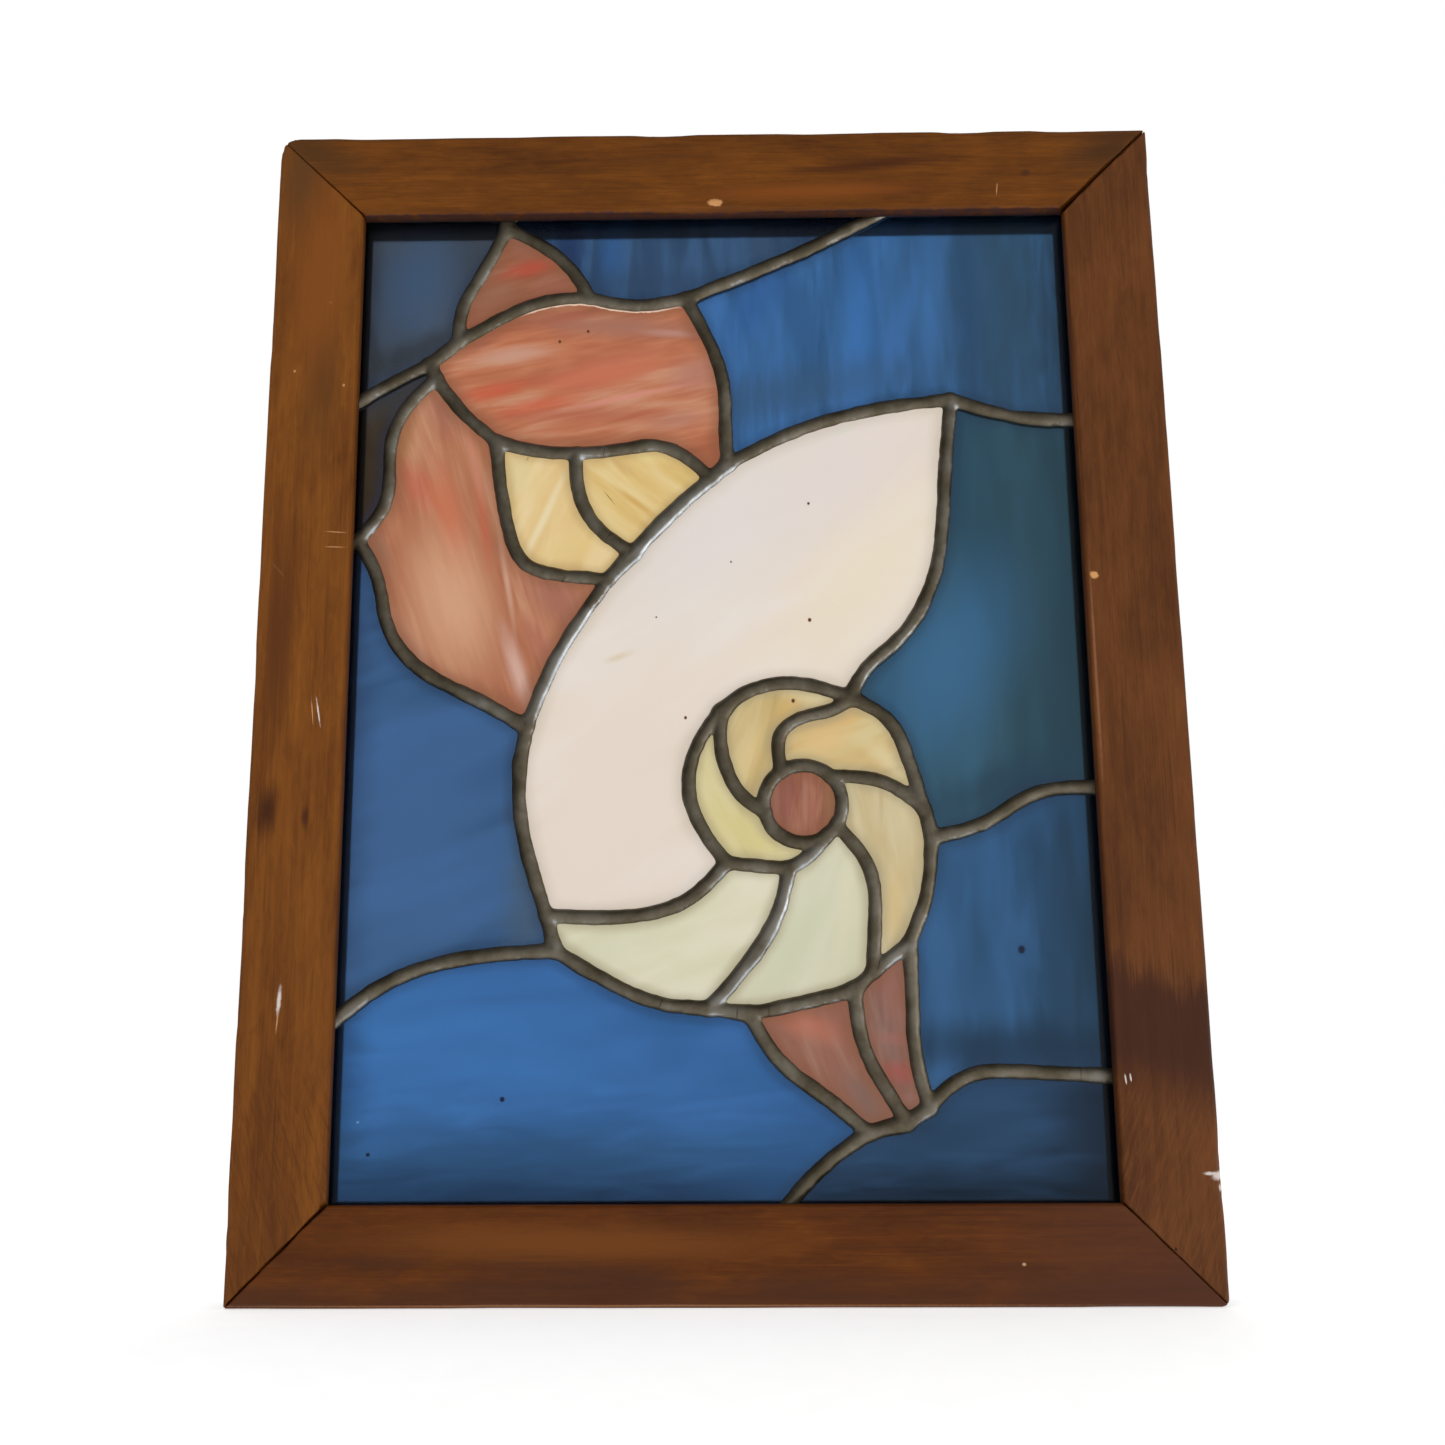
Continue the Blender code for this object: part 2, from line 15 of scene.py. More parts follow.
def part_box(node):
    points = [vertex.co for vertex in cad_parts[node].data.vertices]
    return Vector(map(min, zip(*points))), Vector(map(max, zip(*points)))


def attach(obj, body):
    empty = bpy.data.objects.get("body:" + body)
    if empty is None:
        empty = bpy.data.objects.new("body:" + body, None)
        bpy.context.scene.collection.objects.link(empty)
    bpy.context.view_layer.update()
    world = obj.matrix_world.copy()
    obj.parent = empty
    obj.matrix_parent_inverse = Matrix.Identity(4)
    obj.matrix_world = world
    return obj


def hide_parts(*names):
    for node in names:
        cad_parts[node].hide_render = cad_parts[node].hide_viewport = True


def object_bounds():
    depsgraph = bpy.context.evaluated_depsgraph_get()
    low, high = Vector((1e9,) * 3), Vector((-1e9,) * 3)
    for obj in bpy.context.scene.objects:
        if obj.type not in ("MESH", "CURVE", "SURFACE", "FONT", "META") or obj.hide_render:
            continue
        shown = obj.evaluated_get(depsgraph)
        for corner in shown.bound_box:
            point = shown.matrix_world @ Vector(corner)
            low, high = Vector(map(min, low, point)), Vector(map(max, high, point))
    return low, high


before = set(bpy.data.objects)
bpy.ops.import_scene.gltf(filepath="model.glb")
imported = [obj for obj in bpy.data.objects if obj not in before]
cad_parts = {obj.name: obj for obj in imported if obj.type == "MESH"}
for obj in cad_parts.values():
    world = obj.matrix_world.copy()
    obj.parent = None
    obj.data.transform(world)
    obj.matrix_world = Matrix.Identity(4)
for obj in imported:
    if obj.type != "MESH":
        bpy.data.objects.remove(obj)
cad_low, cad_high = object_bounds()

# Frame
FRAME_WIDTH = cad_high.x - cad_low.x
FRAME_HEIGHT = cad_high.z - cad_low.z
FRAME_CENTRE_Z = (cad_high.z + cad_low.z) / 2
RAIL_WIDTH = 0.031
RAIL_THICKNESS = cad_high.y - cad_low.y
FRONT_LIP = 0.005
GROOVE_DEPTH = 0.0045
GROOVE_FRONT_Y = FRONT_LIP - RAIL_THICKNESS
GROOVE_BACK_Y = -0.008
OUTER_ARRIS = 0.0016
INNER_ARRIS = 0.0008

# Glass panel
panel_low, panel_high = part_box("solder_lines")
PANEL_WIDTH = panel_high.x - panel_low.x
PANEL_HEIGHT = panel_high.z - panel_low.z
GLASS_FRONT_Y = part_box("white_glass_shell")[0].y
GLASS_BACK_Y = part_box("white_glass_shell")[1].y

# Solder
BEAD_HALF_WIDTH = 0.0024
BEAD_HEIGHT = 0.00115
BEAD_ROUNDNESS = 2.5
BEAD_SINK = 0.00012
BEAD_UNEVENNESS = 0.16
CROWN_WAVE_SIZE = 0.009
POOL_SLOPE = 0.25
FRESH_LUMP_HEIGHT = 0.00006
FRESH_LUMP_SHARE = 1.5
JUNCTION_BLEND = 0.0004
SEAM_REACH = 0.0065
GRID_COLUMNS = 359
GRID_ROWS = 489
CURVE_STEP = 0.0012
EYE_RADIUS = 0.0131
EYE_CENTRE = (60.9, 37.8)

# How far a border's points may slide, as a share of a cell, and the least square of a slope to slide on
LONGEST_SLIDE = 0.6
LEAST_STEEPNESS = 0.3

# Seeds of the ripples, each with a few free numbers after it, and the cells along a ripple's lattice
EDGE_SEED = 11
FRONT_BEAD_SEED = 21
BACK_BEAD_SEED = 31
FRONT_GLASS_SEED = 41
BACK_GLASS_SEED = 43
SHINE_SEED = 51
RAIL_SEED = 100
RIPPLE_LATTICE = 97

# Uneven solder, as the height, size and added seed of each ripple: of the bead's edge, crown and shine
EDGE_RIPPLES = ((0.00018, 0.0065, 0), (0.00012, 0.0026, 1), (0.00006, 0.0017, 2))
CROWN_RIPPLES = ((0.00009, 0.0042, 1), (0.00002, 0.0020, 2))
SHINE_RIPPLES = ((0.2, 0.011, 0), (0.08, 0.004, 1))

# Where other seams meet the eye's ring, in degrees from +X towards +Z
EYE_ANGLES = {"eye_left": 193, "eye_top": 123, "eye_right": 46, "eye_low_right": -34, "eye_foot": -50}

# Where seams meet, in percent of the panel
JUNCTIONS = {
    "corner_top_left": (0, 100), "corner_top_right": (100, 100), "corner_foot_right": (100, 0),
    "corner_foot_left": (0, 0), "top_at_tip": (21.4, 100), "top_at_back": (74.5, 100),
    "left_high": (0, 78.6), "left_middle": (0, 63.9), "left_low": (0, 16.9), "right_high": (100, 76.6),
    "right_middle": (100, 39.2), "right_low": (100, 12.2), "foot_middle": (56.8, 0),
    "hood_tip": (21.3, 98.2), "brow_left": (14.9, 85.7), "brow_middle": (32.8, 90.4),
    "brow_right": (46.2, 90.2), "cheek_top": (10.9, 83.3), "cheek_foot": (11.9, 81.7),
    "cream_left": (20.3, 74.9), "cream_middle": (31.2, 73.5), "cream_notch": (38.9, 63.0),
    "cream_foot": (35.6, 60.3), "lip_left": (49.4, 70.7), "lip_top": (51.8, 72.3),
    "jaw_left": (2.0, 64.5), "jaw_right": (25.0, 45.4), "shoulder": (82.2, 78.9),
    "coil_top": (67.3, 48.2), "coil_left": (50.3, 46.9), "coil_foot": (50.9, 32.2),
    "coil_inner": (58.8, 31.6), "keel_left": (27.9, 27.3), "keel_low": (29.0, 24.0),
    "keel_middle": (48.6, 18.6), "keel_right": (69.3, 21.9), "side_low": (77.3, 34.5),
    "side_high": (76.5, 37.2), "tail_left": (53.6, 18.1), "tail_middle": (66.9, 20.2),
    "tail_right": (73.9, 24.5), "tip_left": (68.1, 7.3), "tip_middle": (73.0, 8.2),
    "tip_right": (75.7, 9.5),
}

# Seams: the two junctions, and the places that the curve passes between them, in percent of the panel
SEAMS = {
    ("top_at_tip", "hood_tip"): [],
    ("hood_tip", "brow_left"): [(17.7, 92.9), (15.1, 88.6)],
    ("hood_tip", "brow_middle"): [(25.9, 96.4), (31, 92.8)],
    ("left_high", "cheek_top"): [(5, 80.9)],
    ("cheek_top", "brow_left"): [],
    ("brow_left", "brow_middle"): [(20, 87.9), (26.5, 90)],
    ("brow_middle", "brow_right"): [(38.1, 89.55)],
    ("brow_right", "top_at_back"): [(55, 92.9), (63.5, 95.7)],
    ("cheek_top", "cheek_foot"): [],
    ("cheek_foot", "jaw_left"): [(7.6, 78.1), (5.9, 74), (5.7, 69)],
    ("cheek_foot", "cream_left"): [(15.5, 78.15)],
    ("cream_left", "cream_middle"): [(25.9, 73.8)],
    ("cream_middle", "lip_left"): [(37.2, 73.9), (42.7, 74.15), (46.2, 72.9)],
    ("cream_left", "cream_foot"): [(21, 70), (22.4, 65), (24.3, 62.1), (29.1, 60.8)],
    ("cream_middle", "cream_notch"): [(31.4, 70), (33.8, 66)],
    ("lip_left", "lip_top"): [],
    ("brow_right", "lip_top"): [(49.6, 85), (51.1, 81.4), (51.5, 75)],
    ("shoulder", "lip_top"): [(71.9, 77.9), (60, 75.3)],
    ("lip_left", "cream_notch"): [(44.8, 67.6)],
    ("cream_notch", "cream_foot"): [],
    ("cream_foot", "jaw_right"): [(32.6, 57), (28.1, 51.3)],
    ("left_middle", "jaw_left"): [],
    ("jaw_left", "jaw_right"): [(4.65, 60.8), (6.6, 55.2), (9.9, 51.9), (18.6, 48.2)],
    ("jaw_right", "keel_left"): [(24.2, 41), (24.8, 35)],
    ("keel_left", "keel_low"): [],
    ("left_low", "keel_low"): [(8.1, 21.2), (17.5, 23.3)],
    ("keel_low", "keel_middle"): [(35, 21.4), (42.3, 19.1)],
    ("keel_middle", "tail_left"): [],
    ("tail_left", "tail_middle"): [(60, 19)],
    ("tail_middle", "keel_right"): [],
    ("keel_right", "tail_right"): [],
    ("tail_right", "side_low"): [(76, 28.1)],
    ("side_low", "side_high"): [],
    ("side_high", "coil_top"): [(74.7, 42), (72.1, 46)],
    ("shoulder", "right_high"): [(92.3, 76.85)],
    ("side_low", "right_middle"): [(85, 36.2), (90, 38.4)],
    ("shoulder", "coil_top"): [(80.85, 70), (79, 60.5), (73.4, 53.6), (69.4, 50.9)],
    ("coil_top", "coil_left"): [(60, 49.65), (52.85, 48.4)],
    ("coil_left", "coil_foot"): [(47, 43), (46.5, 37.7), (49.1, 34)],
    ("coil_foot", "coil_inner"): [],
    ("keel_left", "coil_foot"): [(36.5, 27.1), (45.9, 28.7)],
    ("coil_inner", "keel_middle"): [(57.85, 28.3), (52.8, 22.1)],
    ("coil_inner", "eye_foot"): [(61, 32.5)],
    ("coil_left", "eye_left"): [(50.6, 42.4), (53, 38.7)],
    ("coil_top", "eye_top"): [(65.2, 47.1), (62.2, 46.5), (58.4, 44.9)],
    ("eye_right", "side_high"): [(71.9, 39.7)],
    ("eye_low_right", "keel_right"): [(69.2, 31.6), (69.75, 26.9)],
    ("tail_left", "tip_left"): [(57.3, 13.8), (63.8, 10)],
    ("tail_middle", "tip_middle"): [(67.9, 15), (70.3, 11.4)],
    ("tail_right", "tip_right"): [(74.1, 19.7), (74.2, 15)],
    ("tip_left", "tip_middle"): [],
    ("tip_middle", "tip_right"): [],
    ("tip_right", "right_low"): [(80, 12.1), (87.8, 12.7)],
    ("tip_left", "foot_middle"): [(62.5, 4.3)],
}

# Seams with more solder than the rest: half width of the bead
WIDE_SEAMS = {
    ("lip_left", "cream_notch"): 0.0028,
    ("cream_notch", "cream_foot"): 0.0029,
    ("lip_left", "lip_top"): 0.0028,
    ("coil_inner", "keel_middle"): 0.0026,
    ("tip_left", "tip_middle"): 0.0027,
    ("tip_middle", "tip_right"): 0.0027,
}

# Seams rubbed bright: how much of the dark patina is gone, from 0 to 1, which also sets how strong their
# painted highlight is
BRIGHT_SEAMS = {
    ("lip_left", "lip_top"): 0.9,
    ("lip_left", "cream_notch"): 0.95,
    ("cream_notch", "cream_foot"): 0.95,
    ("cream_foot", "jaw_right"): 0.9,
    ("coil_inner", "keel_middle"): 0.9,
    ("coil_inner", "eye_foot"): 0.8,
    ("shoulder", "coil_top"): 0.6,
    ("keel_right", "tail_right"): 0.7,
    ("tip_middle", "tip_right"): 0.8,
    ("jaw_left", "jaw_right"): 0.5,
    ("keel_left", "keel_low"): 0.6,
    ("keel_middle", "tail_left"): 0.6,
    "ring of the eye": 0.55,
}
USUAL_BRIGHTNESS = 0.42
LUMP_BRIGHTNESS = 0.4

# The glint, a highlight painted on the solder: the side that it faces, as X and Z, its place and spread
# over a bead's section, and the least slope for it
GLINT_SIDE = (0.64, -0.77)
GLINT_PLACE = 0.72
GLINT_SPREAD = 0.28
GLINT_LEAST_SLOPE = 0.2

# Where the bead is wider or narrower: place in percent, radius and how far its edge moves out in millimetres
SOLDER_SWELLS = [
    ((24.4, 46.2), 3, 0.6), ((23.4, 41.8), 3.6, 0.6), ((28.8, 24.6), 3.2, 0.7), ((49.9, 31), 2.6, 0.5),
    ((67.2, 48.2), 3.6, 0.7), ((77.4, 36), 3.4, 0.5), ((74.4, 23.4), 3.2, 0.6),
    ((21.4, 99), 4.2, 0.7), ((46.6, 90), 3.4, 0.5), ((13.4, 84.2), 4, 0.6), ((39.4, 62.4), 3.4, 0.6),
    ((51.6, 72), 3, 0.4), ((71.6, 7.8), 4, 0.5), ((96.8, 12.4), 3.4, 0.5), ((77.2, 56.6), 2.2, 0.4),
    ((20.4, 74.2), 3.4, 0.5), ((53, 18.2), 4, 0.5), ((66.6, 20.6), 3.4, 0.5), ((51.7, 46.5), 3.4, 0.8),
    ((30.2, 61.4), 1.8, -0.4), ((44, 20), 2.2, -0.4), ((90, 77.4), 3, -0.3), ((6.2, 72), 3, -0.3),
]

# Small bright lumps of fresh solder, which also get a stronger painted highlight: place in percent and
# radius in millimetres
SOLDER_GLINTS = [
    ((21.5, 99.2), 1.8), ((46.9, 89.9), 1.6), ((47.3, 88.6), 1.3), ((21.5, 74), 1.6),
    ((20.7, 72.6), 1.4), ((35, 73.9), 1.3), ((32, 73), 1.5), ((3.5, 65.6), 2.4),
    ((19.2, 47.9), 2.2), ((11.5, 81.2), 2), ((32.5, 60.4), 2), ((32.8, 56.9), 1.8), ((36.2, 64.6), 1.6),
    ((39.7, 63), 2.2), ((52, 71.6), 2), ((66.7, 48.6), 2.2), ((53.5, 47.4), 1.7), ((50.6, 44.8), 1.5),
    ((50, 31.4), 2), ((58, 28.6), 2.6), ((43.2, 18.9), 2.4), ((54.2, 18), 2.2), ((28.8, 27), 2),
    ((62.3, 33.2), 2.2), ((29.3, 24.3), 1.6), ((74, 24.2), 2.2), ((48.9, 19.4), 2), ((58.9, 43.6), 1.8),
    ((82.4, 78.2), 1.8), ((96.6, 12.4), 2.6), ((76, 10), 2.6), ((88.9, 77.8), 1), ((77.4, 36.4), 1.6),
]

# Nicks across a bead: place in percent, lean in degrees and half sizes in millimetres
SOLDER_NICKS = [
    ((36, 65), 52, (2.2, 0.16)), ((37.2, 64.3), 86, (2, 0.14)), ((35, 73.6), 80, (1.6, 0.14)),
    ((29.6, 60.2), 60, (1.8, 0.14)), ((42.4, 19), 70, (2.2, 0.16)), ((52, 18), 88, (2.4, 0.16)),
    ((56, 18.4), 96, (2.2, 0.14)), ((56.6, 41.9), 10, (2.2, 0.14)), ((27.2, 22.8), 30, (1.6, 0.14)),
    ((94.6, 12.6), 88, (2.2, 0.14)), ((70, 22.6), 75, (2, 0.14)),
]


def paint(red, green, blue):
    """The linear colour of red, green and blue from 0 to 255: ((s + 0.055) / 1.055)^2.4 for each share s."""
    shares = [number / 255 for number in (red, green, blue)]
    return tuple(s / 12.92 if s < 0.04045 else ((s + 0.055) / 1.055) ** 2.4 for s in shares)


def panel_point(share):
    """A place on the panel as (X, Z) in metres, from its percent of the width and height."""
    x = panel_low.x + share[0] / 100 * PANEL_WIDTH
    z = panel_low.z + share[1] / 100 * PANEL_HEIGHT
    return np.array([x, z])


# Shader expressions


class Wire:
    """The output of a shader node. Sums and products of wires and numbers add Math nodes."""

    def __init__(self, board, socket):
        self.board = board
        self.socket = socket

    def __add__(self, other):
        return self.board.math("ADD", self, other)

    def __sub__(self, other):
        return self.board.math("SUBTRACT", self, other)

    def __rsub__(self, other):
        return self.board.math("SUBTRACT", other, self)

    def __mul__(self, other):
        return self.board.math("MULTIPLY", self, other)

    __radd__ = __add__


class Board:
    """The shader nodes of one material or world, added by expressions."""

    def __init__(self, tree):
        self.tree = tree

    def feed(self, socket, value):
        """Links a wire to a socket, or sets the socket's own value; a colour gets its fourth number."""
        if isinstance(value, Wire):
            self.tree.links.new(value.socket, socket)
        elif isinstance(value, tuple) and socket.type == "RGBA":
            socket.default_value = (*value[:3], 1.0)
        else:
            socket.default_value = value

    def node(self, kind, settings, inputs, output=0):
        """Adds a node: first its settings or a ramp's stops, then the values or links of its sockets."""
        made = self.tree.nodes.new("ShaderNode" + kind)
        for name, value in settings.items():
            if name == "stops":
                for number, (place, colour) in enumerate(value):
                    if number < 2:
                        stop = made.color_ramp.elements[number]
                        stop.position = place
                    else:
                        stop = made.color_ramp.elements.new(place)
                    stop.color = (*colour, 1.0)
            else:
                setattr(made, name, value)
        for name, value in inputs.items():
            self.feed(made.inputs[name], value)
        return Wire(self, made.outputs[output])

    def math(self, operation, first, second):
        return self.node("Math", {"operation": operation}, {0: first, 1: second})

    def place(self, centre=(0, 0, 0), lean=0.0, sizes=(1, 1, 1)):
        """Object coordinates from a centre, turned about Y by lean degrees, over a size along each axis."""
        here = self.node("TexCoord", {}, {}, "Object")
        turn = (0.0, math.radians(-lean), 0.0)
        inputs = {"Vector": here, "Location": centre, "Rotation": turn, "Scale": sizes}
        return self.node("Mapping", {"vector_type": "TEXTURE"}, inputs)

    def noise(self, where, detail=3.0, roughness=0.5, warp=0.0):
        """Cloudy noise between 0 and 1, one cloud for each unit of the coordinates."""
        inputs = {"Vector": where, "Scale": 1.0, "Detail": detail}
        inputs |= {"Roughness": roughness, "Distortion": warp}
        return self.node("TexNoise", {}, inputs)

    def clouds(self, size, detail=3.0, roughness=0.6):
        """Noise between 0 and 1 with even clouds of a size."""
        return self.noise(self.place(sizes=(size, size, size)), detail, roughness)

    def stored(self, name):
        """The number that the mesh keeps for each point under a name."""
        return self.node("Attribute", {"attribute_name": name}, {}, "Fac")

    def step(self, value, start, end, low=0.0, high=1.0):
        """Runs smoothly from low to high while the value goes from start to end."""
        settings = {"interpolation_type": "SMOOTHSTEP"}
        inputs = {"Value": value, "From Min": start, "From Max": end, "To Min": low, "To Max": high}
        return self.node("MapRange", settings, inputs)

    def ramp(self, value, stops):
        return self.node("ValToRGB", {"stops": stops}, {0: value})

    def mix(self, first, second, share):
        """A colour between two: the first at share 0, the second at share 1."""
        return self.node("Mix", {"data_type": "RGBA"}, {0: share, 6: first, 7: second}, 2)

    def spot(self, centre, lean, sizes, soft=0.5, rough=None):
        """1 inside an ellipse on the XZ plane and 0 outside, with half sizes in millimetres.

        The centre is in metres. A noise wire named as rough frays the edge.
        """
        across = (sizes[0] / 1000, 1.0, sizes[1] / 1000)
        where = self.place((centre[0], 0.0, centre[1]), lean, across)
        length = self.node("VectorMath", {"operation": "LENGTH"}, {0: where}, "Value")
        if rough is not None:
            length = length + (rough - 0.5) * 0.9
        return self.step(length, 1.0 + soft, 1.0 - soft)


class Finish(Board):
    """A new material with its Principled shader."""

    def __init__(self, name, **constants):
        self.material = bpy.data.materials.new(name)
        self.material.use_nodes = True
        super().__init__(self.material.node_tree)
        self.shader = self.tree.nodes["Principled BSDF"]
        for socket, value in constants.items():
            self.set(socket.replace("_", " "), value)

    def set(self, socket, value):
        self.feed(self.shader.inputs[socket], value)

    def bump(self, height, strength, distance):
        inputs = {"Height": height, "Strength": strength, "Distance": distance}
        self.set("Normal", self.node("Bump", {}, inputs))


# Meshes


def make_piece(name, points, faces, finish, replaced, sharp_angle=None):
    """A new piece from whole arrays of points and faces, riding on the window in place of CAD nodes."""
    mesh = bpy.data.meshes.new(name)
    mesh.from_pydata(points.tolist(), [], faces)
    mesh.materials.append(finish.material)
    mesh.shade_smooth()
    if sharp_angle:
        mesh.set_sharp_from_angle(angle=math.radians(sharp_angle))
    piece = bpy.data.objects.new(name, mesh)
    bpy.context.scene.collection.objects.link(piece)
    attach(piece, "root")
    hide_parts(replaced)
    return piece


def ripple(first, second, size, seed):
    """Smooth noise from -1 to 1: random heights on a square lattice of that size, joined by 3t^2 - 2t^3."""
    count = RIPPLE_LATTICE
    heights = np.random.default_rng(seed).uniform(-1, 1, (count, count))
    column, row = np.floor(first / size).astype(int), np.floor(second / size).astype(int)
    along, up = first / size - column, second / size - row
    along, up = along**2 * (3 - 2 * along), up**2 * (3 - 2 * up)
    left, right, low, high = column % count, (column + 1) % count, row % count, (row + 1) % count
    lower = heights[left, low] * (1 - along) + heights[right, low] * along
    upper = heights[left, high] * (1 - along) + heights[right, high] * along
    return lower * (1 - up) + upper * up


def ripples(first, second, waves, seed):
    """The sum of ripples, each given by its height, its size and what it adds to the seed."""
    return sum(height * ripple(first, second, size, seed + more) for height, size, more in waves)


def panel_grid(columns, rows):
    """Points spaced evenly over the panel: their X and their Z, each with a row for one height."""
    across = np.linspace(panel_low.x, panel_high.x, columns)
    upwards = np.linspace(panel_low.z, panel_high.z, rows)
    return np.meshgrid(across, upwards)


def corner_sum(values):
    """The sum of the values at the four corners of each cell of a grid."""
    return values[:-1, :-1] + values[1:, :-1] + values[:-1, 1:] + values[1:, 1:]


# Solder


def junction_point(name):
    if name in EYE_ANGLES:
        angle = math.radians(EYE_ANGLES[name])
        return panel_point(EYE_CENTRE) + EYE_RADIUS * np.array([math.cos(angle), math.sin(angle)])
    return panel_point(JUNCTIONS[name])


def natural_curve(knots):
    """Points along the natural cubic spline through the knots, with the chord length as its parameter."""
    knots = np.array(knots)
    lengths = np.linalg.norm(np.diff(knots, axis=0), axis=1)
    places = np.concatenate([[0.0], np.cumsum(lengths)])
    count = len(knots)
    system = np.eye(count)
    right = np.zeros((count, 2))
    for index in range(1, count - 1):
        before, after = lengths[index - 1], lengths[index]
        system[index, index - 1 : index + 2] = before, 2 * (before + after), after
        slope_after = (knots[index + 1] - knots[index]) / after
        slope_before = (knots[index] - knots[index - 1]) / before
        right[index] = 6 * (slope_after - slope_before)
    bends = np.linalg.solve(system, right)
    wanted = np.linspace(0, places[-1], max(2, math.ceil(places[-1] / CURVE_STEP) + 1))
    span = np.clip(np.searchsorted(places, wanted, side="right") - 1, 0, count - 2)
    width = lengths[span][:, None]
    left = (places[span + 1] - wanted)[:, None]
    passed = (wanted - places[span])[:, None]
    curve = (bends[span] * left**3 + bends[span + 1] * passed**3) / (6 * width)
    curve += (knots[span] / width - bends[span] * width / 6) * left
    curve += (knots[span + 1] / width - bends[span + 1] * width / 6) * passed
    return curve


def seam_path(start, end):
    """The curve from one junction to the next: a seam, a part of the eye's ring, or the panel's edge."""
    if (start, end) in SEAMS:
        between = map(panel_point, SEAMS[start, end])
        return natural_curve([junction_point(start), *between, junction_point(end)])
    if (end, start) in SEAMS:
        return seam_path(end, start)[::-1]
    if start in EYE_ANGLES and end in EYE_ANGLES:
        first, last = EYE_ANGLES[start], EYE_ANGLES[end]
        turn = (last - first + 180) % 360 - 180
        angles = np.radians(first + np.linspace(0, turn, 40))
        return panel_point(EYE_CENTRE) + EYE_RADIUS * np.stack([np.cos(angles), np.sin(angles)], axis=1)
    return np.array([junction_point(start), junction_point(end)])


def path_distance(x, z, path):
    """The distance of each point from a path: the least of its distances from the path's straight sides."""
    least = np.full(x.shape, np.inf)
    for start, run in zip(path[:-1], np.diff(path, axis=0)):
        share = ((x - start[0]) * run[0] + (z - start[1]) * run[1]) / (run @ run)
        share = np.clip(share, 0, 1)
        least = np.minimum(least, np.hypot(x - start[0] - share * run[0], z - start[1] - share * run[1]))
    return least


def near_place(x, z, share, radius):
    """1 at a place on the panel, fading as exp(-(distance / radius)^2), with the radius in millimetres."""
    middle = panel_point(share)
    return np.exp(-((x - middle[0]) ** 2 + (z - middle[1]) ** 2) / (radius / 1000) ** 2)


def fresh_solder(x, z):
    """1 on the small bright lumps of fresh solder and 0 away from them."""
    return sum(near_place(x, z, place, radius) for place, radius in SOLDER_GLINTS)


def seam_distances(x, z):
    """Each seam's name, the part of the grid near it, and the distances there from its centre line.

    After the seams come the ring of the eye and the edge of the panel, for the whole grid.
    """
    for ends in SEAMS:
        path = seam_path(*ends)
        low, high = path.min(axis=0) - SEAM_REACH, path.max(axis=0) + SEAM_REACH
        columns = slice(*np.searchsorted(x[0], (low[0], high[0])))
        rows = slice(*np.searchsorted(z[:, 0], (low[1], high[1])))
        yield ends, (rows, columns), path_distance(x[rows, columns], z[rows, columns], path)
    everywhere = (slice(None), slice(None))
    eye = panel_point(EYE_CENTRE)
    yield "ring of the eye", everywhere, np.abs(np.hypot(x - eye[0], z - eye[1]) - EYE_RADIUS)
    edge = np.minimum(np.minimum(x - x.min(), x.max() - x), np.minimum(z - z.min(), z.max() - z))
    yield "edge of the panel", everywhere, edge


def bead_field(x, z):
    """How far each point lies outside the beads, and how bright the solder is there.

    Each seam gives distance - half width. They are joined as -k log(sum of exp(-value / k)), which rounds
    the inner corners where beads meet, as melted solder does. The brightness is the mean with the same
    weights.
    """
    wobble = ripples(x, z, EDGE_RIPPLES, EDGE_SEED)
    for place, radius, amount in SOLDER_SWELLS:
        wobble += amount / 1000 * near_place(x, z, place, radius)
    total = np.full(x.shape, 1e-30)
    bright = np.zeros(x.shape)
    for seam, window, distance in seam_distances(x, z):
        outside = distance - WIDE_SEAMS.get(seam, BEAD_HALF_WIDTH)
        share = np.exp(-(outside - wobble[window]) / JUNCTION_BLEND)
        total[window] += share
        bright[window] += share * BRIGHT_SEAMS.get(seam, USUAL_BRIGHTNESS)
    return -JUNCTION_BLEND * np.log(total), bright / total


def bead_height(outside, x, z, seed):
    """Height of the solder over the glass: H (1 - t^p), with t 0 on the crown and 1 at the bead's edge."""
    share = np.clip(1 + outside / BEAD_HALF_WIDTH, 0, 1)
    uneven = 1 + BEAD_UNEVENNESS * ripple(x, z, CROWN_WAVE_SIZE, seed)
    height = BEAD_HEIGHT * (1 - share**BEAD_ROUNDNESS) * uneven
    height += POOL_SLOPE * np.clip(-outside - BEAD_HALF_WIDTH, 0, None)
    lumps = ripples(x, z, CROWN_RIPPLES, seed)
    fresh = fresh_solder(x, z)
    lumps = lumps * (1 + FRESH_LUMP_SHARE * fresh) + FRESH_LUMP_HEIGHT * fresh
    return height + lumps * (1 - share)


def fill_corner_touches(solid):
    """Fills both neighbours of two cells that touch by a corner only, so that the slab stays closed."""
    while True:
        low_left, high_right = solid[:-1, :-1], solid[1:, 1:]
        high_left, low_right = solid[1:, :-1], solid[:-1, 1:]
        touching = (low_left & high_right & ~high_left & ~low_right) | (
            high_left & low_right & ~low_left & ~high_right
        )
        if not touching.any():
            return solid
        for corner in (low_left, high_right, high_left, low_right):
            corner |= touching


def slab_border(solid):
    """The grid's points that the solid cells use, and those of them on the cells' border."""
    neighbours = corner_sum(np.pad(solid, 1).astype(int))
    return neighbours > 0, (neighbours > 0) & (neighbours < 4)


